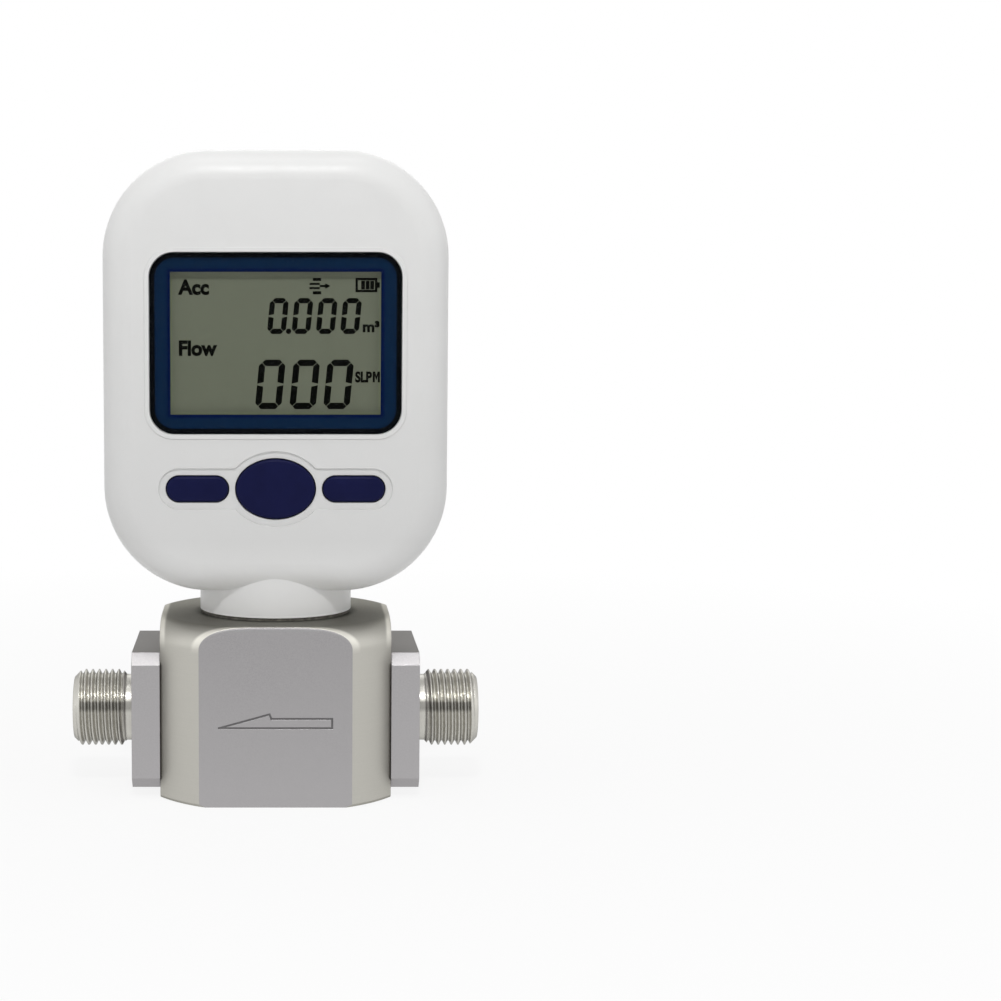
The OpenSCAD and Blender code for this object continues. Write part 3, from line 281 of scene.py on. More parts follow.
class Nodes:
    """Helpers that add nodes to a tree."""

    def __init__(self, tree):
        self.tree = tree

    def put(self, socket, value):
        """Links an output to a socket, or sets the socket's plain value."""
        if isinstance(value, bpy.types.NodeSocket):
            self.tree.links.new(value, socket)
        elif isinstance(value, tuple) and len(value) == 3 and len(socket.default_value) == 4:
            socket.default_value = (*value, 1)
        else:
            socket.default_value = value

    def node(self, kind, inputs=(), **properties):
        """A node with its inputs set or linked in order, None for one that stays."""
        node = self.tree.nodes.new("ShaderNode" + kind)
        for name, value in properties.items():
            setattr(node, name, value)
        for socket, value in zip(node.inputs, inputs):
            if value is not None:
                self.put(socket, value)
        return node

    def math(self, operation, *values, clamp=False):
        """One arithmetic step."""
        return self.node("Math", values, operation=operation, use_clamp=clamp).outputs[0]

    def hypotenuse(self, a, b):
        """Square root of a squared plus b squared."""
        squares = [self.math("MULTIPLY", side, side) for side in (a, b)]
        return self.math("SQRT", self.math("ADD", *squares))

    def ramp(self, value, low, high, at_low=0.0, at_high=1.0):
        """Goes from at_low to at_high as the value goes from low to high."""
        return self.node("MapRange", (value, low, high, at_low, at_high)).outputs[0]

    def seen_directly(self):
        """1 for a ray from the camera, a mirror or a pane, and 0 for light that is scattered."""
        path = self.node("LightPath").outputs
        seen = self.math("MAXIMUM", path["Is Camera Ray"], path["Is Glossy Ray"])
        return self.math("MAXIMUM", seen, path["Is Transmission Ray"])


class Finish(Nodes):
    """A material whose surface is one Principled shader."""

    def __init__(self, name, **sockets):
        self.material = bpy.data.materials.new(name)
        self.material.use_nodes = True
        super().__init__(self.material.node_tree)
        self.shader = self.tree.nodes["Principled BSDF"]
        self.coordinates = self.node("TexCoord").outputs["Object"]
        self.set(**sockets)

    def set(self, **sockets):
        """Sets or links the shader's sockets, named with underscores."""
        for name, value in sockets.items():
            self.put(self.shader.inputs[name.replace("_", " ").title().replace("Ior", "IOR")], value)

    def show(self, shader):
        """Links another shader to the material's surface."""
        self.put(self.tree.nodes["Material Output"].inputs["Surface"], shader.outputs[0])

    def axes(self):
        """The x, y and z of the surface point, in metres."""
        return self.node("SeparateXYZ", (self.coordinates,)).outputs

    def stretched(self, x, y, z):
        """The coordinates times a number of cycles per metre along each axis."""
        return self.node("Mapping", (self.coordinates, None, None, (x, y, z))).outputs[0]

    def noise(self, cycles, detail=2.0, roughness=0.5, at=None):
        """Noise from 0 to 1 with a number of cycles per metre, or per unit of the coordinates in at."""
        at = self.coordinates if at is None else at
        return self.node("TexNoise", (at, None, cycles, detail, roughness)).outputs["Fac"]

    def spread(self, noise, at_low, at_high, low=0.3, high=0.7):
        """Goes from at_low to at_high over the range in which most of a noise lies."""
        return self.ramp(noise, low, high, at_low, at_high)

    def blend(self, share, first, second):
        """Mixes two colours."""
        node = self.tree.nodes.new("ShaderNodeMix")
        node.data_type = "RGBA"
        for index, value in ((0, share), (6, first), (7, second)):
            self.put(node.inputs[index], value)
        return node.outputs[2]

    def mottled(self, noise, base, darker, lighter, *ends):
        """A colour that goes from a darker to a lighter shade by a noise."""
        return self.blend(self.spread(noise, 0.0, 1.0, *ends), scaled(base, darker), scaled(base, lighter))

    def relief(self, height, distance, normal=None):
        """Bump from a height between 0 and 1 that stands for a distance in metres."""
        node = self.node("Bump")
        self.put(node.inputs["Strength"], 1.0)
        self.put(node.inputs["Distance"], distance)
        self.put(node.inputs["Height"], height)
        if normal is not None:
            self.put(node.inputs["Normal"], normal)
        return node.outputs[0]

    def soft_edges(self, radius):
        """Normal that rounds sharp edges by a radius."""
        return self.node("Bevel", (radius,), samples=6).outputs[0]

    def frame_distance(self, middle, half, corner):
        """Distance of a point from a rounded rectangle in the XZ plane, negative inside. With q the absolute
        offset from the middle less the half size plus the corner, it is
        |max(q, 0)| + min(max(qx, qz), 0) - corner."""
        x, _, z = self.axes()
        from_x = self.math("ABSOLUTE", self.math("SUBTRACT", x, middle[0]))
        from_z = self.math("ABSOLUTE", self.math("SUBTRACT", z, middle[1]))
        across = self.math("ADD", from_x, corner - half[0])
        up = self.math("ADD", from_z, corner - half[1])
        out_x = self.math("MAXIMUM", across, 0.0)
        out_z = self.math("MAXIMUM", up, 0.0)
        inner = self.math("MINIMUM", self.math("MAXIMUM", across, up), 0.0)
        return self.math("SUBTRACT", self.math("ADD", self.hypotenuse(out_x, out_z), inner), corner)


def scaled(base, factor):
    """A colour made lighter or darker by a factor, kept at 1 or less."""
    return tuple(min(1.0, channel * factor) for channel in base)


# Heights over which the head's painted shade fades out towards the top, those over which it comes in above
# the neck, and how far over the neck's foot its painted highlight fades
HEAD_SHADE_FADE = 55 * MM, 165 * MM
NECK_FADE = 58 * MM, 70 * MM
RIM_HIGHLIGHT_FADE = 0.35 * MM, 0.65 * MM


def moulded_plastic(name, base, roughness, grain, edge=0.0, painted_low_tone=1.0, rim=None):
    """Satin moulded plastic: faint clouds in the colour, a spark-eroded grain and uneven gloss. It goes over
    to painted shade, a given factor times its colour, towards the head's lower end, but not on the neck.
    Where rim is given, painted highlight makes it paler just over that height."""
    f = Finish(name, specular_ior_level=0.4)
    shade = f.mottled(f.noise(55, 3), base, 0.985, 1.01, 0.35, 0.65)
    height = f.axes()[2]
    # Painted shade: darker towards the head's lower end, and left out on the neck
    low = f.math("MULTIPLY", f.ramp(height, *HEAD_SHADE_FADE, 1.0, 0.0), f.ramp(height, *NECK_FADE))
    shade = f.blend(low, shade, scaled(base, painted_low_tone))
    # Painted highlight: paler just over the rim height, along the neck's lower edge
    if rim is not None:
        painted_edge_highlight = f.ramp(height, rim + RIM_HIGHLIGHT_FADE[0], rim + RIM_HIGHLIGHT_FADE[1], 1.0, 0.0)
        shade = f.blend(painted_edge_highlight, shade, scaled(base, 1.16))
    f.set(base_color=shade, roughness=f.spread(f.noise(420, 2), roughness - 0.05, roughness + 0.05))
    normal = f.soft_edges(edge) if edge else None
    f.set(normal=f.relief(f.noise(2600, 3, 0.6), grain, normal=normal))
    return f.material


def blasted_metal(name, base, grain, edge, roughness):
    """Bead-blasted metal: a fine speckle in colour, gloss and height, over faint clouds, and painted light
    that makes it lighter towards the bottom.
    """
    f = Finish(name, metallic=1.0, specular_tint=(0.27, 0.27, 0.25))
    # 1.1 sets the painted light towards the bottom
    speckle, flat, rough = blasting(f, base, grain, roughness, 1.1)
    f.set(base_color=flat, roughness=rough)
    f.set(normal=f.relief(speckle, 14e-6, normal=f.soft_edges(edge)))
    return f.material


# Places on the flow body: heights over which the blasted metal's painted light fades out upwards, half the
# arrow's field, heights over which the turned top grows darker by painted reflection, radii of the ring of
# painted shade by the neck, heights over which the flats' edges get a painted highlight, how far inside the
# flats it reaches, and heights over which the edges grow softer
BLASTED_LIGHT_FADE = 4 * MM, 44 * MM
ARROW_HALF_WIDTH = 16 * MM
ARROW_HALF_HEIGHT = 6 * MM
TOP_SHADE_FADE = 43 * MM, 47 * MM
NECK_SHADE_RING = 21.3 * MM, 22.8 * MM
EDGE_HIGHLIGHT_HEIGHT = 41 * MM, 45 * MM
EDGE_HIGHLIGHT_DEPTH = 1.7 * MM, 1.1 * MM
SOFT_HEIGHT = 30 * MM, 40 * MM


def blasting(f, base, grain, roughness, painted_low_tone):
    """Speckle, colour and gloss of blasted metal, with painted light: halfway to a given factor times its
    colour at the bottom.
    """
    speckle = f.noise(1 / grain, 4, 0.75)
    flat = f.mottled(speckle, base, 0.86, 1.14)
    flat = f.blend(f.spread(f.noise(70, 2), 0.0, 0.5), flat, scaled(base, 1.02))
    # Painted light: lighter towards the bottom
    flat = f.blend(f.ramp(f.axes()[2], *BLASTED_LIGHT_FADE, 0.5, 0.0), flat, scaled(base, painted_low_tone))
    return speckle, flat, f.ramp(speckle, 0.25, 0.75, roughness - 0.09, roughness + 0.09)


def body_metal(name, base, turned_tone, grain, edge, top_edge):
    """The flow body's metal: blasted on the four flats and turned elsewhere, with faint rings, darker
    engraved arrows, painted light towards the bottom, painted shade on the top plane and where the top meets
    the neck, and softer edges with a painted highlight round the flats' tops."""
    f = Finish(name, metallic=1.0, specular_tint=(0.30, 0.30, 0.29))
    # 1.26 sets the painted light towards the bottom of the flats
    speckle, flat, rough = blasting(f, base, grain, 0.49, 1.26)
    x, y, z = f.axes()
    wide, deep = f.math("ABSOLUTE", x), f.math("ABSOLUTE", y)
    furthest = f.math("MAXIMUM", wide, deep)
    radius = f.hypotenuse(x, y)
    off_flat = f.ramp(furthest, BODY_FLAT - 0.04 * MM, BODY_FLAT - 0.01 * MM, 1.0, 0.0)
    from_axis = f.math("ABSOLUTE", f.math("SUBTRACT", z, GAS_Z))
    arrow = f.math("MULTIPLY", f.math("LESS_THAN", from_axis, ARROW_HALF_HEIGHT),
                   f.math("LESS_THAN", wide, ARROW_HALF_WIDTH))
    turned = f.math("MULTIPLY", off_flat, f.math("SUBTRACT", 1.0, arrow))
    tool_path = f.node("CombineXYZ", (f.math("MULTIPLY", radius, 2600.0), f.math("MULTIPLY", x, 40.0),
                                      f.math("MULTIPLY", z, 4200.0)))
    rings = f.noise(1, 3, 0.6, at=tool_path.outputs[0])
    tool = f.mottled(rings, turned_tone, 0.985, 1.015)
    # Painted reflection: the turned top grows darker over the top plane
    tool = f.blend(f.ramp(z, *TOP_SHADE_FADE), tool, scaled(turned_tone, 0.74))
    # Painted shade: a darker ring on the top by the neck
    tool = f.blend(f.ramp(radius, *NECK_SHADE_RING, 1.0, 0.0), tool, scaled(turned_tone, 0.42))
    # Painted highlight: paler bands along the flats' top edges
    near_edge = f.ramp(furthest, BODY_FLAT - EDGE_HIGHLIGHT_DEPTH[0], BODY_FLAT - EDGE_HIGHLIGHT_DEPTH[1])
    painted_edge_highlight = f.math("MULTIPLY", near_edge, f.ramp(z, *EDGE_HIGHLIGHT_HEIGHT))
    tool = f.blend(painted_edge_highlight, tool, scaled(turned_tone, 1.5))
    shade = f.blend(turned, flat, tool)
    # Darker inside the engraved arrows
    cut = f.math("MULTIPLY", f.ramp(deep, BODY_FLAT - 0.12 * MM, BODY_FLAT - 0.04 * MM, 1.0, 0.0), arrow)
    f.set(base_color=f.blend(cut, shade, scaled(base, 0.45)))
    f.set(roughness=f.math("SUBTRACT", rough, f.math("MULTIPLY", turned, 0.08)))
    grained = f.math("MULTIPLY", speckle, f.math("SUBTRACT", 1.0, f.math("MULTIPLY", turned, 0.6)))
    height = f.math("ADD", grained, f.math("MULTIPLY", turned, f.math("MULTIPLY", rings, 0.08)))
    softness = f.ramp(z, *SOFT_HEIGHT, edge, top_edge)
    f.set(normal=f.relief(height, 14e-6, normal=f.soft_edges(softness)))
    return f.material


# Painted reflection, a darker band along a thread: heights over the gas axis where it begins and ends; the
# depth below the crests over which their painted shade grows; and the length over which the band fades at
# its end
REFLECTION_BAND_LOW = 0.1 * MM, 1.3 * MM
REFLECTION_BAND_HIGH = 3.0 * MM, 3.5 * MM
CREST_DEPTH = 1.1 * MM
REFLECTION_BAND_END = 0.5 * MM


def turned_metal(name, base, roughness, along=(5200, 40, 40), edge=0.0, spread=0.10, crest=None, reach=None):
    """Bright turned metal: tool lines that are fine along one axis, uneven gloss and a few darker streaks.
    Where crest is given, painted shade makes the metal duller towards that radius from the gas axis, evening
    out the crests' highlights, and a painted reflection makes it darker in a band just above the thread's
    middle. The band ends at reach along X."""
    f = Finish(name, metallic=1.0, specular_tint=(0.5, 0.5, 0.5))
    lines = f.noise(1, 4, 0.65, at=f.stretched(*along))
    shade = f.mottled(lines, base, 1 - spread, 1 + spread)
    shade = f.blend(f.ramp(f.noise(160, 3), 0.45, 0.75, 0.0, 0.35), shade, scaled(base, 0.8))
    if crest is not None:
        x, y, z = f.axes()
        up = f.math("SUBTRACT", z, GAS_Z)
        # Painted shade: duller towards the crests, evening out their highlights against the shaded roots
        crest_shade = f.ramp(f.hypotenuse(y, up), crest - CREST_DEPTH, crest, 0.0, 0.6)
        shade = f.blend(crest_shade, shade, scaled(base, 0.95))
        # Painted reflection: a darker band just above the thread's middle
        band = f.math("MULTIPLY", f.ramp(up, *REFLECTION_BAND_LOW), f.ramp(up, *REFLECTION_BAND_HIGH, 1.0, 0.0))
        band = f.math("MULTIPLY", band, f.ramp(f.math("ABSOLUTE", x), reach - REFLECTION_BAND_END, reach, 0.85, 0.0))
        shade = f.blend(band, shade, scaled(base, 0.5))
    f.set(base_color=shade, roughness=f.ramp(lines, 0.25, 0.75, roughness - 0.05, roughness + 0.07))
    f.set(normal=f.relief(lines, 6e-6, normal=f.soft_edges(edge) if edge else None))
    return f.material


def rubber(name, base):
    """Matt rubber with a dusty bloom."""
    f = Finish(name, specular_ior_level=0.3)
    bloom = f.noise(700, 3)
    f.set(base_color=f.mottled(bloom, base, 1.0, 2.2, 0.35, 0.7), roughness=f.spread(bloom, 0.6, 0.8))
    f.set(normal=f.relief(f.noise(4000, 2), 8e-6))
    return f.material


def clear_window(name):
    """Clear plastic pane: see-through, with faint smears and a gloss that grows towards grazing angles."""
    f = Finish(name)
    f.tree.nodes.remove(f.shader)
    clear = f.node("BsdfTransparent", ((0.985, 0.99, 0.985),))
    smears = f.ramp(f.noise(90, 3), 0.35, 0.7, 0.03, 0.07)
    gloss = f.node("BsdfGlossy", ((0.9, 0.92, 0.94), smears))
    share = f.node("Fresnel", (1.08,)).outputs[0]
    f.show(f.node("MixShader", (share, clear.outputs[0], gloss.outputs[0])))
    return f.material


# Half the display's opening in X and Z, its corner radius and that of the print round it. Then, by distances
# from an edge, where these fade out: the bluer line along the opening, the dark band along the print's outer
# edge, the painted light along the display's edge and the stronger painted light along its top
VIEW_HALF = 27.8 * MM, 18.8 * MM
VIEW_CORNER = 0.05 * MM
PRINT_CORNER = 6.45 * MM
LINE_WIDTH = 0.75 * MM, 1.0 * MM
BAND_WIDTH = 1.5 * MM, 1.2 * MM
PAINTED_EDGE_LIGHT = 0.7 * MM, 0.25 * MM
PAINTED_TOP_LIGHT = 1.7 * MM, 0.5 * MM


def from_opening(f):
    """Distance of a point from the display's opening in the print, negative inside."""
    return f.frame_distance(WINDOW_MIDDLE[[0, 2]], VIEW_HALF, VIEW_CORNER)


def printed_frame(name, navy, line, edge):
    """Print behind the window: navy, with a near-black band along the outer edge and a bluer line along the
    opening, both by their distance from rounded rectangles."""
    f = Finish(name, specular_ior_level=0.02)
    half = (WINDOW_HIGH - WINDOW_LOW) / 2
    outer = f.frame_distance(WINDOW_MIDDLE[[0, 2]], half[[0, 2]], PRINT_CORNER)
    grains = f.noise(900, 3)
    shade = f.mottled(grains, navy, 0.9, 1.12)
    shade = f.blend(f.ramp(from_opening(f), *LINE_WIDTH, 1.0, 0.0), shade, line)
    shade = f.blend(f.ramp(outer, -BAND_WIDTH[0], -BAND_WIDTH[1]), shade, edge)
    f.set(base_color=shade, roughness=f.spread(grains, 0.5, 0.6), normal=f.relief(grains, 2e-6))
    return f.material


def display_glass(name, base):
    """Reflective display: a grey-olive ground with a faint polariser streak, and painted light that makes it
    lighter along its edges and most of all along the top one."""
    f = Finish(name, specular_ior_level=0.1)
    top = WINDOW_MIDDLE[2] + VIEW_HALF[1]
    ground = f.mottled(f.noise(1, 2, at=f.stretched(700, 10, 30)), base, 0.985, 1.015)
    # Painted light: paler and greener along the edges, and paler still along the top
    lit_edge_green = tuple(channel * factor for channel, factor in zip(base, (1.16, 1.22, 1.06)))
    ground = f.blend(f.ramp(from_opening(f), -PAINTED_EDGE_LIGHT[0], -PAINTED_EDGE_LIGHT[1]), ground, lit_edge_green)
    top_light_share = f.ramp(f.axes()[2], top - PAINTED_TOP_LIGHT[0], top - PAINTED_TOP_LIGHT[1])
    ground = f.blend(top_light_share, ground, scaled(base, 1.3))
    f.set(base_color=ground, roughness=f.spread(f.noise(1500, 2), 0.35, 0.45))
    f.set(normal=f.relief(f.noise(3000, 2), 1e-6))
    return f.material


def foil(name, base):
    """Brushed silver foil: fine streaks along X in colour and gloss, with soft blotches."""
    f = Finish(name, metallic=0.55)
    streaks = f.noise(1, 4, 0.6, at=f.stretched(60, 900, 5200))
    shade = f.mottled(streaks, base, 0.94, 1.05)
    f.set(base_color=f.blend(f.spread(f.noise(60, 2), 0.0, 0.4, 0.35, 0.65), shade, scaled(base, 0.93)))
    f.set(roughness=f.spread(streaks, 0.36, 0.5), normal=f.relief(streaks, 3e-6))
    return f.material


def ink(name, base):
    """Printed ink, uneven in tone and gloss."""
    f = Finish(name, specular_ior_level=0.02)
    grains = f.noise(2400, 3)
    f.set(base_color=f.mottled(grains, base, 0.85, 1.15), roughness=f.spread(grains, 0.44, 0.56))
    return f.material


def circuit_board(name, base, copper):
    """Green solder mask with paler copper lines under it: thin bands of two noises give the tracks."""
    f = Finish(name, specular_ior_level=0.5)
    wander = f.noise(190, 2)
    track = f.math("LESS_THAN", f.math("PINGPONG", f.math("MULTIPLY", wander, 26.0), 0.5), 0.09)
    f.set(base_color=f.blend(track, f.blend(f.noise(60, 2), scaled(base, 0.85), scaled(base, 1.1)), copper))
    f.set(roughness=f.spread(f.noise(900, 2), 0.3, 0.42), normal=f.relief(track, 18e-6))
    return f.material


def chip_parts(name, dark, pale):
    """Small board parts: black moulded bodies with paler metal ends, by cells."""
    f = Finish(name)
    cells = f.node("TexVoronoi", (f.coordinates, None, 320.0)).outputs["Color"]
    share = f.math("GREATER_THAN", f.node("SeparateColor", (cells,)).outputs[0], 0.72)
    f.set(base_color=f.blend(share, dark, pale), roughness=f.spread(f.noise(1500, 2), 0.4, 0.6))
    f.set(normal=f.relief(f.noise(3500, 2), 6e-6))
    return f.material


def striped(name, base, stripe, pitch, axis, share, roughness):
    """Even stripes across one axis, such as the conductors of a ribbon or the band of a cell."""
    f = Finish(name)
    where = f.math("FRACT", f.math("MULTIPLY", f.axes()[axis], 1.0 / pitch))
    f.set(base_color=f.blend(f.math("LESS_THAN", where, share), base, stripe))
    f.set(roughness=f.spread(f.noise(800, 2), roughness - 0.06, roughness + 0.06))
    f.set(normal=f.relief(f.noise(2600, 2), 4e-6))
    return f.material


def dress(finish, *nodes):
    """Gives CAD nodes a finish in their own material slots."""
    for name in nodes:
        for slot in CAD_NODES[name].material_slots:
            slot.material = finish


# Studio

# Lamps: name, place, width, height and the setting that holds the power
LAMPS = (
    ("key_lamp", (0.0, -0.49, 0.61), 0.07, 0.07, "key_light"),
    ("top_lamp", (0.0, -0.12, 0.95), 0.40, 0.14, "top_light"),
    ("left_lamp", (-1.1, -0.25, 0.45), 0.8, 0.9, "side_light"),
    ("right_lamp", (1.1, -0.25, 0.45), 0.8, 0.9, "side_light"),
    ("back_lamp", (0.0, 1.2, 0.75), 1.2, 0.6, "back_light"),
)
# Point that the lamps are turned to, and the radii between which the floor goes over to plain white
LAMP_AIM = np.array([0.0, 0.0, 0.09])
FLOOR_FADE = 0.08, 0.45


class METER_OT_studio(Operator):
    """Pale round floor, soft lamps, white surroundings and the camera"""
    bl_idname = "meter.studio"
    bl_label = "Studio"

    def execute(self, context):
        _, _, studio = settings()
        self.floor(studio)
        self.surroundings(context.scene, studio)
        self.lamps(context.scene, studio)
        self.camera(context.scene, studio)
        context.scene.view_settings.view_transform = "Standard"
        return {"FINISHED"}

    def floor(self, studio):
        """Disc of rings (r cos a, r sin a, 0) whose radii grow as a square. Near the meter it keeps some of
        its own shade, and further out it goes over to plain white."""
        radii = studio.floor_radius * np.linspace(0, 1, 24)[1:, None] ** 2
        turn = full_turn(72)
        x, y = radii * np.cos(turn), radii * np.sin(turn)
        points = np.stack([x, y, np.zeros_like(x)], -1).reshape(-1, 3)
        faces = grid_faces(len(radii), len(turn)).tolist()
        faces.append(np.arange(len(turn)).tolist())
        mesh = bpy.data.meshes.new("studio_floor")
        mesh.from_pydata(points.tolist(), [], faces)
        mesh.validate()
        floor = bpy.data.objects.new("studio_floor", mesh)
        bpy.context.scene.collection.objects.link(floor)
        f = Finish("pale floor", base_color=(0.9, 0.9, 0.9), roughness=0.9, specular_ior_level=0.1)
        x, y, _ = f.axes()
        white = f.node("Emission", ((1.0, 1.0, 1.0), 1.0))
        share = f.ramp(f.hypotenuse(x, y), *FLOOR_FADE, 1.0 - studio.shadow, 1.0)
        share = f.math("MULTIPLY", share, f.seen_directly())
        f.show(f.node("MixShader", (share, f.shader.outputs[0], white.outputs[0])))
        mesh.materials.append(f.material)

    def surroundings(self, scene, studio):
        """World that is plain white where it is seen and a dimmer grey where it lights the meter."""
        world = bpy.data.worlds.new("white surroundings")
        world.use_nodes = True
        scene.world = world
        background = world.node_tree.nodes["Background"].inputs
        f = Nodes(world.node_tree)
        f.put(background["Color"], (1.0, 1.0, 1.0))
        f.put(background["Strength"], f.ramp(f.seen_directly(), 0.0, 1.0, studio.sky, 1.0))

    def lamps(self, scene, studio):
        """A small lamp above the camera, a flat one over the meter, and soft ones beside and behind it."""
        for name, place, width, height, power in LAMPS:
            data = bpy.data.lights.new(name, "AREA")
            data.shape = "RECTANGLE"
            data.size = width
            data.size_y = height
            data.energy = getattr(studio, power)
            lamp = bpy.data.objects.new(name, data)
            scene.collection.objects.link(lamp)
            lamp.location = place
            x, y, z = LAMP_AIM - place
            tilt = math.atan2(math.hypot(x, y), -z)
            lamp.rotation_euler = (tilt, 0, math.atan2(y, x) - math.pi / 2)

    def camera(self, scene, studio):
        """Camera in front of the meter, tilted down, with the frame shifted sideways as in the photo."""
        data = bpy.data.cameras.new("front_camera")
        data.lens = studio.lens
        data.sensor_width = 36.0
        data.sensor_fit = "HORIZONTAL"
        data.shift_x = studio.shift
        data.clip_start = 0.01
        data.clip_end = 50.0
        camera = bpy.data.objects.new("front_camera", data)
        scene.collection.objects.link(camera)
        camera.location = (0, -studio.distance, studio.height)
        camera.rotation_euler = (math.pi / 2 - studio.pitch, 0, 0)
        scene.camera = camera


# Head

class METER_OT_shells(Operator):
    """Satin white finish of the front shell, the rear housing, the battery cover and the plugs"""
    bl_idname = "meter.shells"
    bl_label = "Shells"

    def execute(self, context):
        sizes, colours, _ = settings()
        base = tuple(colours.shell)
        edge = sizes.soft_edge
        rear = scaled(base, 0.985)
        # The factors 0.88 and 0.92 give the head's painted shade towards its lower end; NECK_FOOT places the
        # painted highlight at the neck's foot
        dress(moulded_plastic("shell_white", base, 0.40, 4e-6, edge, 0.88, NECK_FOOT), "front_shell")
        dress(moulded_plastic("housing_white", rear, 0.42, 5e-6, edge, 0.92, NECK_FOOT), "rear_housing")
        dress(moulded_plastic("cover_white", rear, 0.42, 5e-6, edge, 0.92), "battery_cover")
        dress(moulded_plastic("plug_white", scaled(base, 0.95), 0.5, 6e-6, edge), "screw_plugs")
        return {"FINISHED"}


class METER_OT_window(Operator):
    """Clear window, the print behind it and the display's own glass"""
    bl_idname = "meter.window"
    bl_label = "Window and display"

    def execute(self, context):
        sizes, colours, _ = settings()
        pane = rounded_bar(WINDOW_LOW[[0, 2]], WINDOW_HIGH[[0, 2]], sizes.pane_corner)
        points, faces = prisms([pane], WINDOW_LOW[1], WINDOW_HIGH[1] - sizes.pane_gap)
        piece = add_piece("window_pane", points, faces, METER, clear_window("window_clear"), smooth=False)
        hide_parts("display_window")
        dress(printed_frame("frame_print", tuple(colours.frame_navy), tuple(colours.frame_line),
                            tuple(colours.frame_edge)), "window_frame")
        dress(display_glass("display_olive", tuple(colours.display)), "display_glass")
        return {"FINISHED"}


# Marks of the display in millimetres, in X and Z: for each row of digits their left ends, then foot, width,
# height and stroke; the point between them by its middle and radius; the letter M by its corner, width,
# height and stroke; and each word by its left, low, right and high end and the weight of its strokes
DIGIT_ROWS = (
    ((-1.85, 4.63, 11.05, 17.47), (124.55, 4.95, 9.46, 1.38)),
    ((-4.9, 4.22, 13.2), (104.65, 7.0, 13.1, 1.68)),
)
DIGIT_SLANT = math.tan(math.radians(5.5))
DECIMAL_POINT = 3.45, 125.25, 0.72
LAST_LETTER = 25.75, 111.75, 1.9, 2.85, 0.54
WORDS = (
    ("Acc", -25.8, 134.8, -17.55, 138.9, 0.042),
    ("Flow", -25.6, 118.7, -15.45, 122.85, 0.042),
    ("m³", 23.05, 125.0, 27.5, 128.0, 0.04),
    ("SLP", 21.1, 111.7, 25.55, 114.65, 0.045),
)

# Icons of the display in millimetres: the cell's outline with its line width, its button, its first bar and
# the step to the next, then the sign's bars and the head of its arrow
CELL_OUTLINE = 21.1, 135.55, 26.85, 139.3, 0.62
CELL_BUTTON = 26.85, 136.7, 27.5, 138.15
CELL_BAR = 22.6, 136.3, 23.6, 138.55
CELL_BAR_STEP = 1.2, 0.0
SIGN_BARS = (
    (9.85, 138.5, 12.05, 139.3),
    (8.95, 137.45, 11.65, 138.0),
    (8.95, 136.35, 11.65, 136.9),
    (9.85, 135.0, 12.05, 135.8),
    (11.65, 136.9, 13.1, 137.45),
)
SIGN_HEAD = (13.1, 136.45), (14.5, 137.18), (13.1, 137.9)


def zero_digit(left, low, width, height, stroke):
    """Outlines of the six lit segments of a nought. The top segment meets a side one on the line from the
    inner corner to the middle of the cut-off outer corner, less a thin gap. Each point is moved right by the
    slant times its height over the middle."""
    gap = 0.07 * stroke
    cut = 0.95 * stroke
    half = height / 2
    near, far = (cut - gap) / 2, (cut + gap) / 2
    top = np.array([(stroke + gap, height - stroke), (width - stroke - gap, height - stroke),
                    (width - far, height - near), (width - cut, height), (cut, height),
                    (far, height - near)])
    side = np.array([(0.0, half + 0.12 * stroke), (stroke, half + 0.36 * stroke),
                     (stroke, height - stroke - gap), (near, height - far), (0.0, height - cut)])
    shapes = [top, side, np.column_stack([width - side[:, 0], side[:, 1]])[::-1]]
    shapes += [np.column_stack([shape[:, 0], height - shape[:, 1]])[::-1] for shape in shapes]
    return [np.column_stack([left + shape[:, 0] + DIGIT_SLANT * (shape[:, 1] - half), low + shape[:, 1]])
            for shape in shapes]


def mark_piece(name, outlines, finish):
    """A piece on the face of the display, made of plates whose outlines are in millimetres."""
    sizes, colours, _ = settings()
    outlines = [outline * MM for outline in outlines]
    points, faces = prisms(outlines, DISPLAY_FACE - sizes.mark_depth, DISPLAY_FACE)
    add_piece(name, points, faces, METER, ink(finish, tuple(colours.mark)), smooth=False)


class METER_OT_digits(Operator):
    """Digits that the display shows: a total with three decimals above and a flow of three digits below"""
    bl_idname = "meter.digits"
    bl_label = "Display digits"

    def execute(self, context):
        outlines = []
        for lefts, shape in DIGIT_ROWS:
            for left in lefts:
                outlines += zero_digit(left, *shape)
        outlines.append(disc(*DECIMAL_POINT, 12))
        mark_piece("display_digits", outlines, "digit_black")
        return {"FINISHED"}


def letter_m(left, low, width, height, stroke):
    """Outline of a capital M: two posts joined by a V between their tops."""
    dip = 0.2 * height
    slope = 1.9 * stroke
    top = 1.15 * stroke
    corners = [(0, 0), (stroke, 0), (stroke, height - slope), (width / 2, dip),
               (width - stroke, height - slope), (width - stroke, 0), (width, 0), (width, height),
               (width - top, height), (width / 2, dip + slope), (top, height), (0, height)]
    return np.array(corners) + (left, low)


def word_mesh(body, weight):
    """Mesh of a word, flat in XY, with its strokes made wider by a weight."""
    curve = bpy.data.curves.new("word", "FONT")
    curve.body = body
    curve.size = 1.0
    curve.offset = weight
    curve.extrude = 0.01
    holder = bpy.data.objects.new("word", curve)
    bpy.context.scene.collection.objects.link(holder)
    bpy.context.view_layer.update()
    mesh = bpy.data.meshes.new_from_object(holder.evaluated_get(bpy.context.evaluated_depsgraph_get()))
    points = np.zeros(len(mesh.vertices) * 3)
    mesh.vertices.foreach_get("co", points)
    faces = [list(polygon.vertices) for polygon in mesh.polygons]
    bpy.data.objects.remove(holder)
    bpy.data.curves.remove(curve)
    bpy.data.meshes.remove(mesh)
    return points.reshape(-1, 3), faces


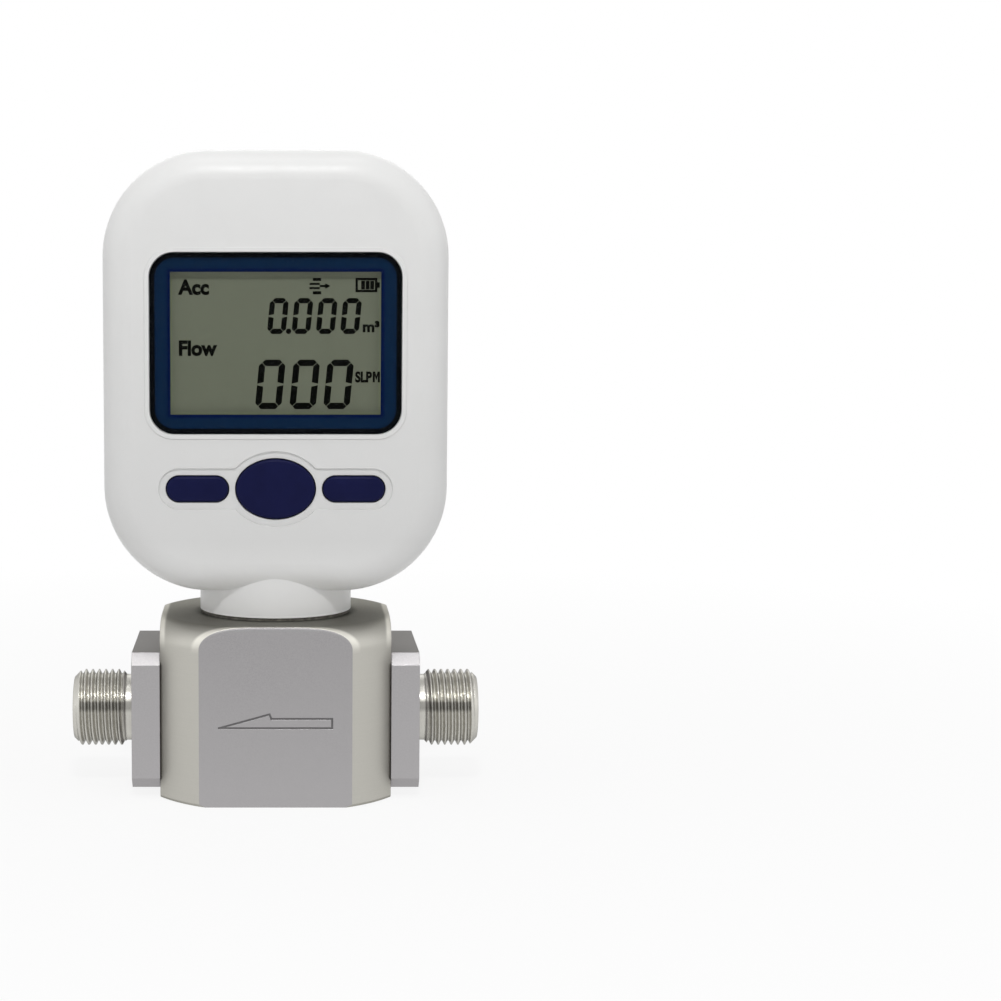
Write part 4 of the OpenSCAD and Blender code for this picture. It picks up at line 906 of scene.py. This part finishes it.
class METER_OT_words(Operator):
    """Plain words and units on the display: Acc, Flow, m3 and SLPM, whose last letter is drawn here"""
    bl_idname = "meter.words"
    bl_label = "Display words"

    def execute(self, context):
        sizes, colours, _ = settings()
        front = DISPLAY_FACE - sizes.mark_depth
        last, last_faces = prisms([letter_m(*LAST_LETTER) * MM], front, DISPLAY_FACE)
        all_points, all_faces, start = [last], list(last_faces), len(last)
        for body, left, low, right, high, weight in WORDS:
            points, faces = word_mesh(body, weight)
            small, large = points.min(0), points.max(0)
            share = (points - small) / (large - small)
            placed = np.column_stack([(left + share[:, 0] * (right - left)) * MM,
                                      DISPLAY_FACE + share[:, 2] * (front - DISPLAY_FACE),
                                      (low + share[:, 1] * (high - low)) * MM])
            all_points.append(placed)
            all_faces += [[start + corner for corner in face] for face in faces]
            start += len(points)
        finish = ink("word_black", tuple(colours.mark))
        add_piece("display_words", np.vstack(all_points), all_faces, METER, finish, smooth=False)
        return {"FINISHED"}


class METER_OT_icons(Operator):
    """Icons on the display: a cell with its bars, and a plain sign of four bars with an arrow"""
    bl_idname = "meter.icons"
    bl_label = "Display icons"

    def execute(self, context):
        cell = [*hollow_bar(*CELL_OUTLINE), bar(*CELL_BUTTON)]
        cell += [bar(*CELL_BAR) + k * np.array(CELL_BAR_STEP) for k in range(3)]
        sign = [bar(*corners) for corners in SIGN_BARS]
        mark_piece("display_icons", [*cell, *sign, np.array(SIGN_HEAD)], "icon_black")
        return {"FINISHED"}


def pill_ring(half_x, half_z, turn):
    """Outline of a pill and its outward normal: a circle of radius half_z, pulled apart along X by
    half_x - half_z each way."""
    c, s = np.cos(turn), np.sin(turn)
    x = half_z * c + (half_x - half_z) * np.sign(c)
    return np.column_stack([x, half_z * s]), np.column_stack([c, s])


def ellipse_ring(half_x, half_z, turn):
    """Outline of an ellipse and its outward normal, (cos a / half_x, sin a / half_z) made one long."""
    c, s = np.cos(turn), np.sin(turn)
    normal = np.column_stack([c / half_x, s / half_z])
    return np.column_stack([half_x * c, half_z * s]), normal / np.linalg.norm(normal, axis=1)[:, None]


# Points round a key
KEY_SIDES = 128


class METER_OT_keys(Operator):
    """Three navy keys with a rounded edge and a crowned face, each on its own joint"""
    bl_idname = "meter.keys"
    bl_label = "Keys"

    def execute(self, context):
        sizes, colours, _ = settings()
        finish = self.finish(tuple(colours.key))
        for name, ring, flange in (("left_key", pill_ring, sizes.side_flange),
                                   ("centre_key", ellipse_ring, sizes.centre_flange),
                                   ("right_key", pill_ring, sizes.side_flange)):
            points = self.surface(name, ring, flange, sizes)
            faces = capped_rings(points, KEY_SIDES)
            key = add_piece(name + "_cap", points, faces, name, finish, sharp_angle=50)
            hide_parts(name)
        return {"FINISHED"}

    def finish(self, base):
        """Satin navy plastic with faint clouds and a fine grain."""
        f = Finish("key_navy_satin", specular_ior_level=0.06)
        f.set(base_color=f.mottled(f.noise(150, 2), base, 0.92, 1.08))
        f.set(roughness=f.spread(f.noise(900, 2), 0.32, 0.42), normal=f.relief(f.noise(3200, 3), 3e-6))
        return f.material

    def surface(self, name, ring, flange, sizes):
        """Rings round the key, from the middle of its face over the edge to the flange and the middle of its
        back. On the face a ring is the rim times a share s, at a depth of crown times s squared. Over the
        edge it moves out along the rim's normal by r sin b and back by r (1 - cos b)."""
        low, high = node_corners(name)
        middle = (low + high) / 2
        half_x = (high[0] - low[0]) / 2 - flange
        half_z = (high[2] - low[2]) / 2 - flange
        rim, normal = ring(half_x, half_z, full_turn(KEY_SIDES, 0.5))
        edge = sizes.key_edge
        inner = rim - edge * normal
        layers = []
        for share in np.linspace(0.02, 1, 14):
            layers.append((inner * share, sizes.key_crown * share ** 2))
        for bend in np.radians(np.linspace(10, 90, 9)):
            back = sizes.key_crown + edge * (1 - math.cos(bend))
            layers.append((inner + edge * math.sin(bend) * normal, back))
        depth = high[1] - low[1]
        outer = rim + flange * normal
        layers += [(rim, depth - sizes.flange_depth), (outer, depth - sizes.flange_depth), (outer, depth),
                   (rim * 0.5, depth), (rim * 0.02, depth)]
        return np.vstack([upright(middle[[0, 2]] + flat, low[1] + back) for flat, back in layers])


# Flow body

class METER_OT_flow_body(Operator):
    """Blasted finish of the body and the end blocks, with turned corners, darker engraved arrows, and
    painted light, shade and highlights
    """
    bl_idname = "meter.flow_body"
    bl_label = "Flow body"

    def execute(self, context):
        sizes, colours, _ = settings()
        base, turned = tuple(colours.blasted), tuple(colours.turned)
        edge = sizes.soft_edge
        dress(body_metal("body_blasted", base, turned, sizes.grain, edge, sizes.body_edge), "flow_body")
        dress(blasted_metal("block_blasted", scaled(base, 1.10), sizes.grain, edge, 0.35),
              "inlet_block", "outlet_block")
        dress(turned_metal("straightener_steel", tuple(colours.nipple), 0.3),
              "flow_straightener", "neck_post")
        return {"FINISHED"}


# Points round a nipple, and distances of the first and the last ring of its thread from the relief and from
# the end face
NIPPLE_SIDES = 144
THREAD_INSET = 0.04 * MM, 0.0005 * MM


class METER_OT_nipples(Operator):
    """Nipples with a right-handed pipe thread that runs out at the relief and is chamfered at its end"""
    bl_idname = "meter.nipples"
    bl_label = "Nipples"

    def execute(self, context):
        sizes, colours, _ = settings()
        crest = (NIPPLE_HIGH[2] - NIPPLE_LOW[2]) / 2
        finish = turned_metal("nipple_bright", tuple(colours.nipple), 0.28, (5200, 60, 60),
                              sizes.thread_edge, 0.05, crest, NIPPLE_HIGH[0] - sizes.thread_end)
        for name, side in (("inlet_nipple", 1), ("outlet_nipple", -1)):
            points, rows = self.surface(side, sizes)
            quads = face_outwards(points, grid_faces(rows, NIPPLE_SIDES, wrap_rows=True))
            nipple = add_piece(name + "_threaded", points, quads, METER, finish, sharp_angle=32)
            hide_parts(name)
        return {"FINISHED"}

    def surface(self, side, sizes):
        """A closed profile (x, r) turned about the gas axis: out along the bore, over the end, back along
        the thread, the relief and the spigot. Along the thread the radius is the root plus the depth times a
        trapezoid wave of x / pitch + turn - angle / 360. It is never more than that of a cone from the
        relief and of the end chamfer's cone, which slopes by 45 degrees."""
        foot, end = NIPPLE_LOW[0], NIPPLE_HIGH[0]
        crest = (NIPPLE_HIGH[2] - NIPPLE_LOW[2]) / 2
        start = BLOCK_FACE + sizes.relief
        chamfer = end - sizes.thread_end
        mouth = sizes.port_chamfer
        turn = full_turn(NIPPLE_SIDES)
        along = np.arange(start + THREAD_INSET[0], end - THREAD_INSET[1], sizes.thread_pitch / 26)[:, None]
        lead = sizes.inlet_turn if side > 0 else sizes.outlet_turn
        wave = (side * (along / sizes.thread_pitch + lead) - turn / (2 * math.pi)) % 1.0
        height = np.clip((1 - np.abs(2 * wave - 1)) * 1.5 - 0.25, 0, 1)
        thread = crest - sizes.thread_depth + sizes.thread_depth * height
        thread = np.minimum(thread, sizes.relief_radius + (along - start) * 1.1)
        thread = np.minimum(thread, crest - (along - chamfer))
        before = ((foot, sizes.port_radius), (end - mouth, sizes.port_radius),
                  (end, sizes.port_radius + mouth), (end, crest - sizes.thread_end))
        after = ((start, sizes.relief_radius), (BLOCK_FACE, sizes.relief_radius),
                 (BLOCK_FACE, sizes.spigot_radius), (foot, sizes.spigot_radius))
        x_before, r_before = np.array(before).T[:, :, None] + np.zeros_like(turn)
        x_after, r_after = np.array(after).T[:, :, None] + np.zeros_like(turn)
        x = np.vstack([x_before, along[::-1] + np.zeros_like(turn), x_after])
        r = np.vstack([r_before, thread[::-1], r_after])
        points = np.stack([side * x, r * np.cos(turn), GAS_Z + r * np.sin(turn)], -1)
        return points.reshape(-1, 3), len(x)


# Small pieces

# Distance of a label's border from its edge, for the rating label and the serial label
LABEL_INSET = 1.2 * MM, 0.8 * MM


class METER_OT_labels(Operator):
    """Two blank silver labels with a printed border and rules"""
    bl_idname = "meter.labels"
    bl_label = "Labels"

    def execute(self, context):
        sizes, colours, _ = settings()
        dress(foil("label_foil", tuple(colours.label)), "rating_label", "serial_label")
        print_ink = ink("label_print", tuple(colours.print_ink))
        half_line = sizes.rule_width / 2
        for label, body, rules, inset in (("rating_label", COVER, 7, LABEL_INSET[0]),
                                          ("serial_label", METER, 2, LABEL_INSET[1])):
            low, high = node_corners(label)
            left, right = low[0] + inset, high[0] - inset
            bottom, top = low[2] + inset, high[2] - inset
            outlines = hollow_bar(left, bottom, right, top, sizes.rule_width)
            for z in np.linspace(bottom, top, rules + 2)[1:-1]:
                outlines.append(bar(left + inset, z - half_line, right - inset, z + half_line))
            points, faces = prisms(outlines, high[1], high[1] + sizes.rule_depth)
            faces = [corners[::-1] for corners in faces]
            piece = add_piece(label + "_rules", points, faces, body, print_ink, smooth=False)
        return {"FINISHED"}


# Radius that the edges of the cover's screw show
SCREW_EDGE = 0.08 * MM


class METER_OT_fasteners(Operator):
    """Steel screws, washers, seals and the nut"""
    bl_idname = "meter.fasteners"
    bl_label = "Fasteners and seals"

    def execute(self, context):
        _, colours, _ = settings()
        steel = tuple(colours.screw)
        even = (900, 900, 900)
        dress(turned_metal("block_screw_steel", steel, 0.28, even), "block_screws")
        dress(turned_metal("cover_screw_steel", steel, 0.22, even, SCREW_EDGE), "cover_screw")
        dress(turned_metal("inner_screw_steel", steel, 0.3, even), "neck_screws", "sensor_screws",
              "board_screws", "shell_screws")
        dress(turned_metal("nut_brass", tone(196, 160, 92), 0.3, even), "cover_nut")
        dress(rubber("washer_black", tone(14, 14, 14)), "cover_washer")
        dress(rubber("seal_rubber", tuple(colours.rubber)), "block_seals", "sensor_seal")
        dress(rubber("gasket_grey", tuple(colours.gasket)), "neck_gasket")
        return {"FINISHED"}


# Distances from one stripe to the next: band of a cell, conductors of the ribbon, sheen of the leads
CELL_BAND = 70 * MM
RIBBON_PITCH = 1 * MM
LEAD_PITCH = 2.5 * MM


class METER_OT_inside(Operator):
    """Finishes of what the housing holds: boards, holder, cells, contacts, leads and the sensor"""
    bl_idname = "meter.inside"
    bl_label = "Inside"

    def execute(self, context):
        _, colours, _ = settings()
        dress(circuit_board("main_board_green", tuple(colours.board), tone(66, 124, 74)),
              "main_board", "sensor_board")
        dress(chip_parts("board_parts_black", tone(26, 26, 28), tone(168, 166, 160)),
              "board_parts", "key_switches")
        dress(chip_parts("sensor_chip_black", tone(34, 34, 38), tone(150, 150, 150)), "sensor_chip")
        dress(moulded_plastic("holder_grey", tone(178, 180, 182), 0.5, 6e-6), "display_holder")
        dress(moulded_plastic("carrier_black", tone(34, 34, 36), 0.5, 6e-6), "sensor_carrier")
        dress(moulded_plastic("tray_black", tone(38, 38, 40), 0.5, 6e-6), "battery_tray")
        dress(striped("cell_case", tone(40, 44, 52), tone(176, 140, 74), CELL_BAND, 2, 0.42, 0.35),
              "batteries")
        dress(striped("ribbon_tan", tone(206, 196, 170), tone(172, 156, 120), RIBBON_PITCH, 0, 0.4, 0.4),
              "sensor_ribbon")
        dress(turned_metal("contact_nickel", tone(196, 194, 186), 0.25, (1500, 1500, 1500)),
              "battery_springs", "battery_plates")
        dress(striped("lead_red", tone(168, 26, 24), tone(150, 20, 20), LEAD_PITCH, 1, 0.5, 0.45),
              "battery_leads")
        return {"FINISHED"}


# Add-on

OPERATORS = (METER_OT_studio, METER_OT_shells, METER_OT_window, METER_OT_digits, METER_OT_words,
             METER_OT_icons, METER_OT_keys, METER_OT_flow_body, METER_OT_nipples, METER_OT_labels,
             METER_OT_fasteners, METER_OT_inside)


class METER_PT_panel(Panel):
    """Settings and steps of the flow meter"""
    bl_idname = "METER_PT_panel"
    bl_label = "Flow meter"
    bl_space_type = "VIEW_3D"
    bl_region_type = "UI"
    bl_category = "Flow meter"

    def draw(self, context):
        for group in settings():
            box = self.layout.box()
            for name in group.__annotations__:
                box.prop(group, name)
        for operator in OPERATORS:
            self.layout.operator(operator.bl_idname)


CLASSES = (MeterSizes, MeterColours, StudioSettings, *OPERATORS, METER_PT_panel)


def register():
    """Registers the classes and hangs the settings on the scene."""
    for item in CLASSES:
        bpy.utils.register_class(item)
    bpy.types.Scene.meter_sizes = PointerProperty(type=MeterSizes)
    bpy.types.Scene.meter_colours = PointerProperty(type=MeterColours)
    bpy.types.Scene.meter_studio = PointerProperty(type=StudioSettings)


def unregister():
    """Takes the settings and the classes away again."""
    del bpy.types.Scene.meter_studio
    del bpy.types.Scene.meter_colours
    del bpy.types.Scene.meter_sizes
    for item in reversed(CLASSES):
        bpy.utils.unregister_class(item)


def main():
    """Registers the add-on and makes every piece."""
    register()
    for operator in OPERATORS:
        group, name = operator.bl_idname.split(".")
        getattr(getattr(bpy.ops, group), name)()
    bpy.context.view_layer.update()


if __name__ == "__main__":
    main()
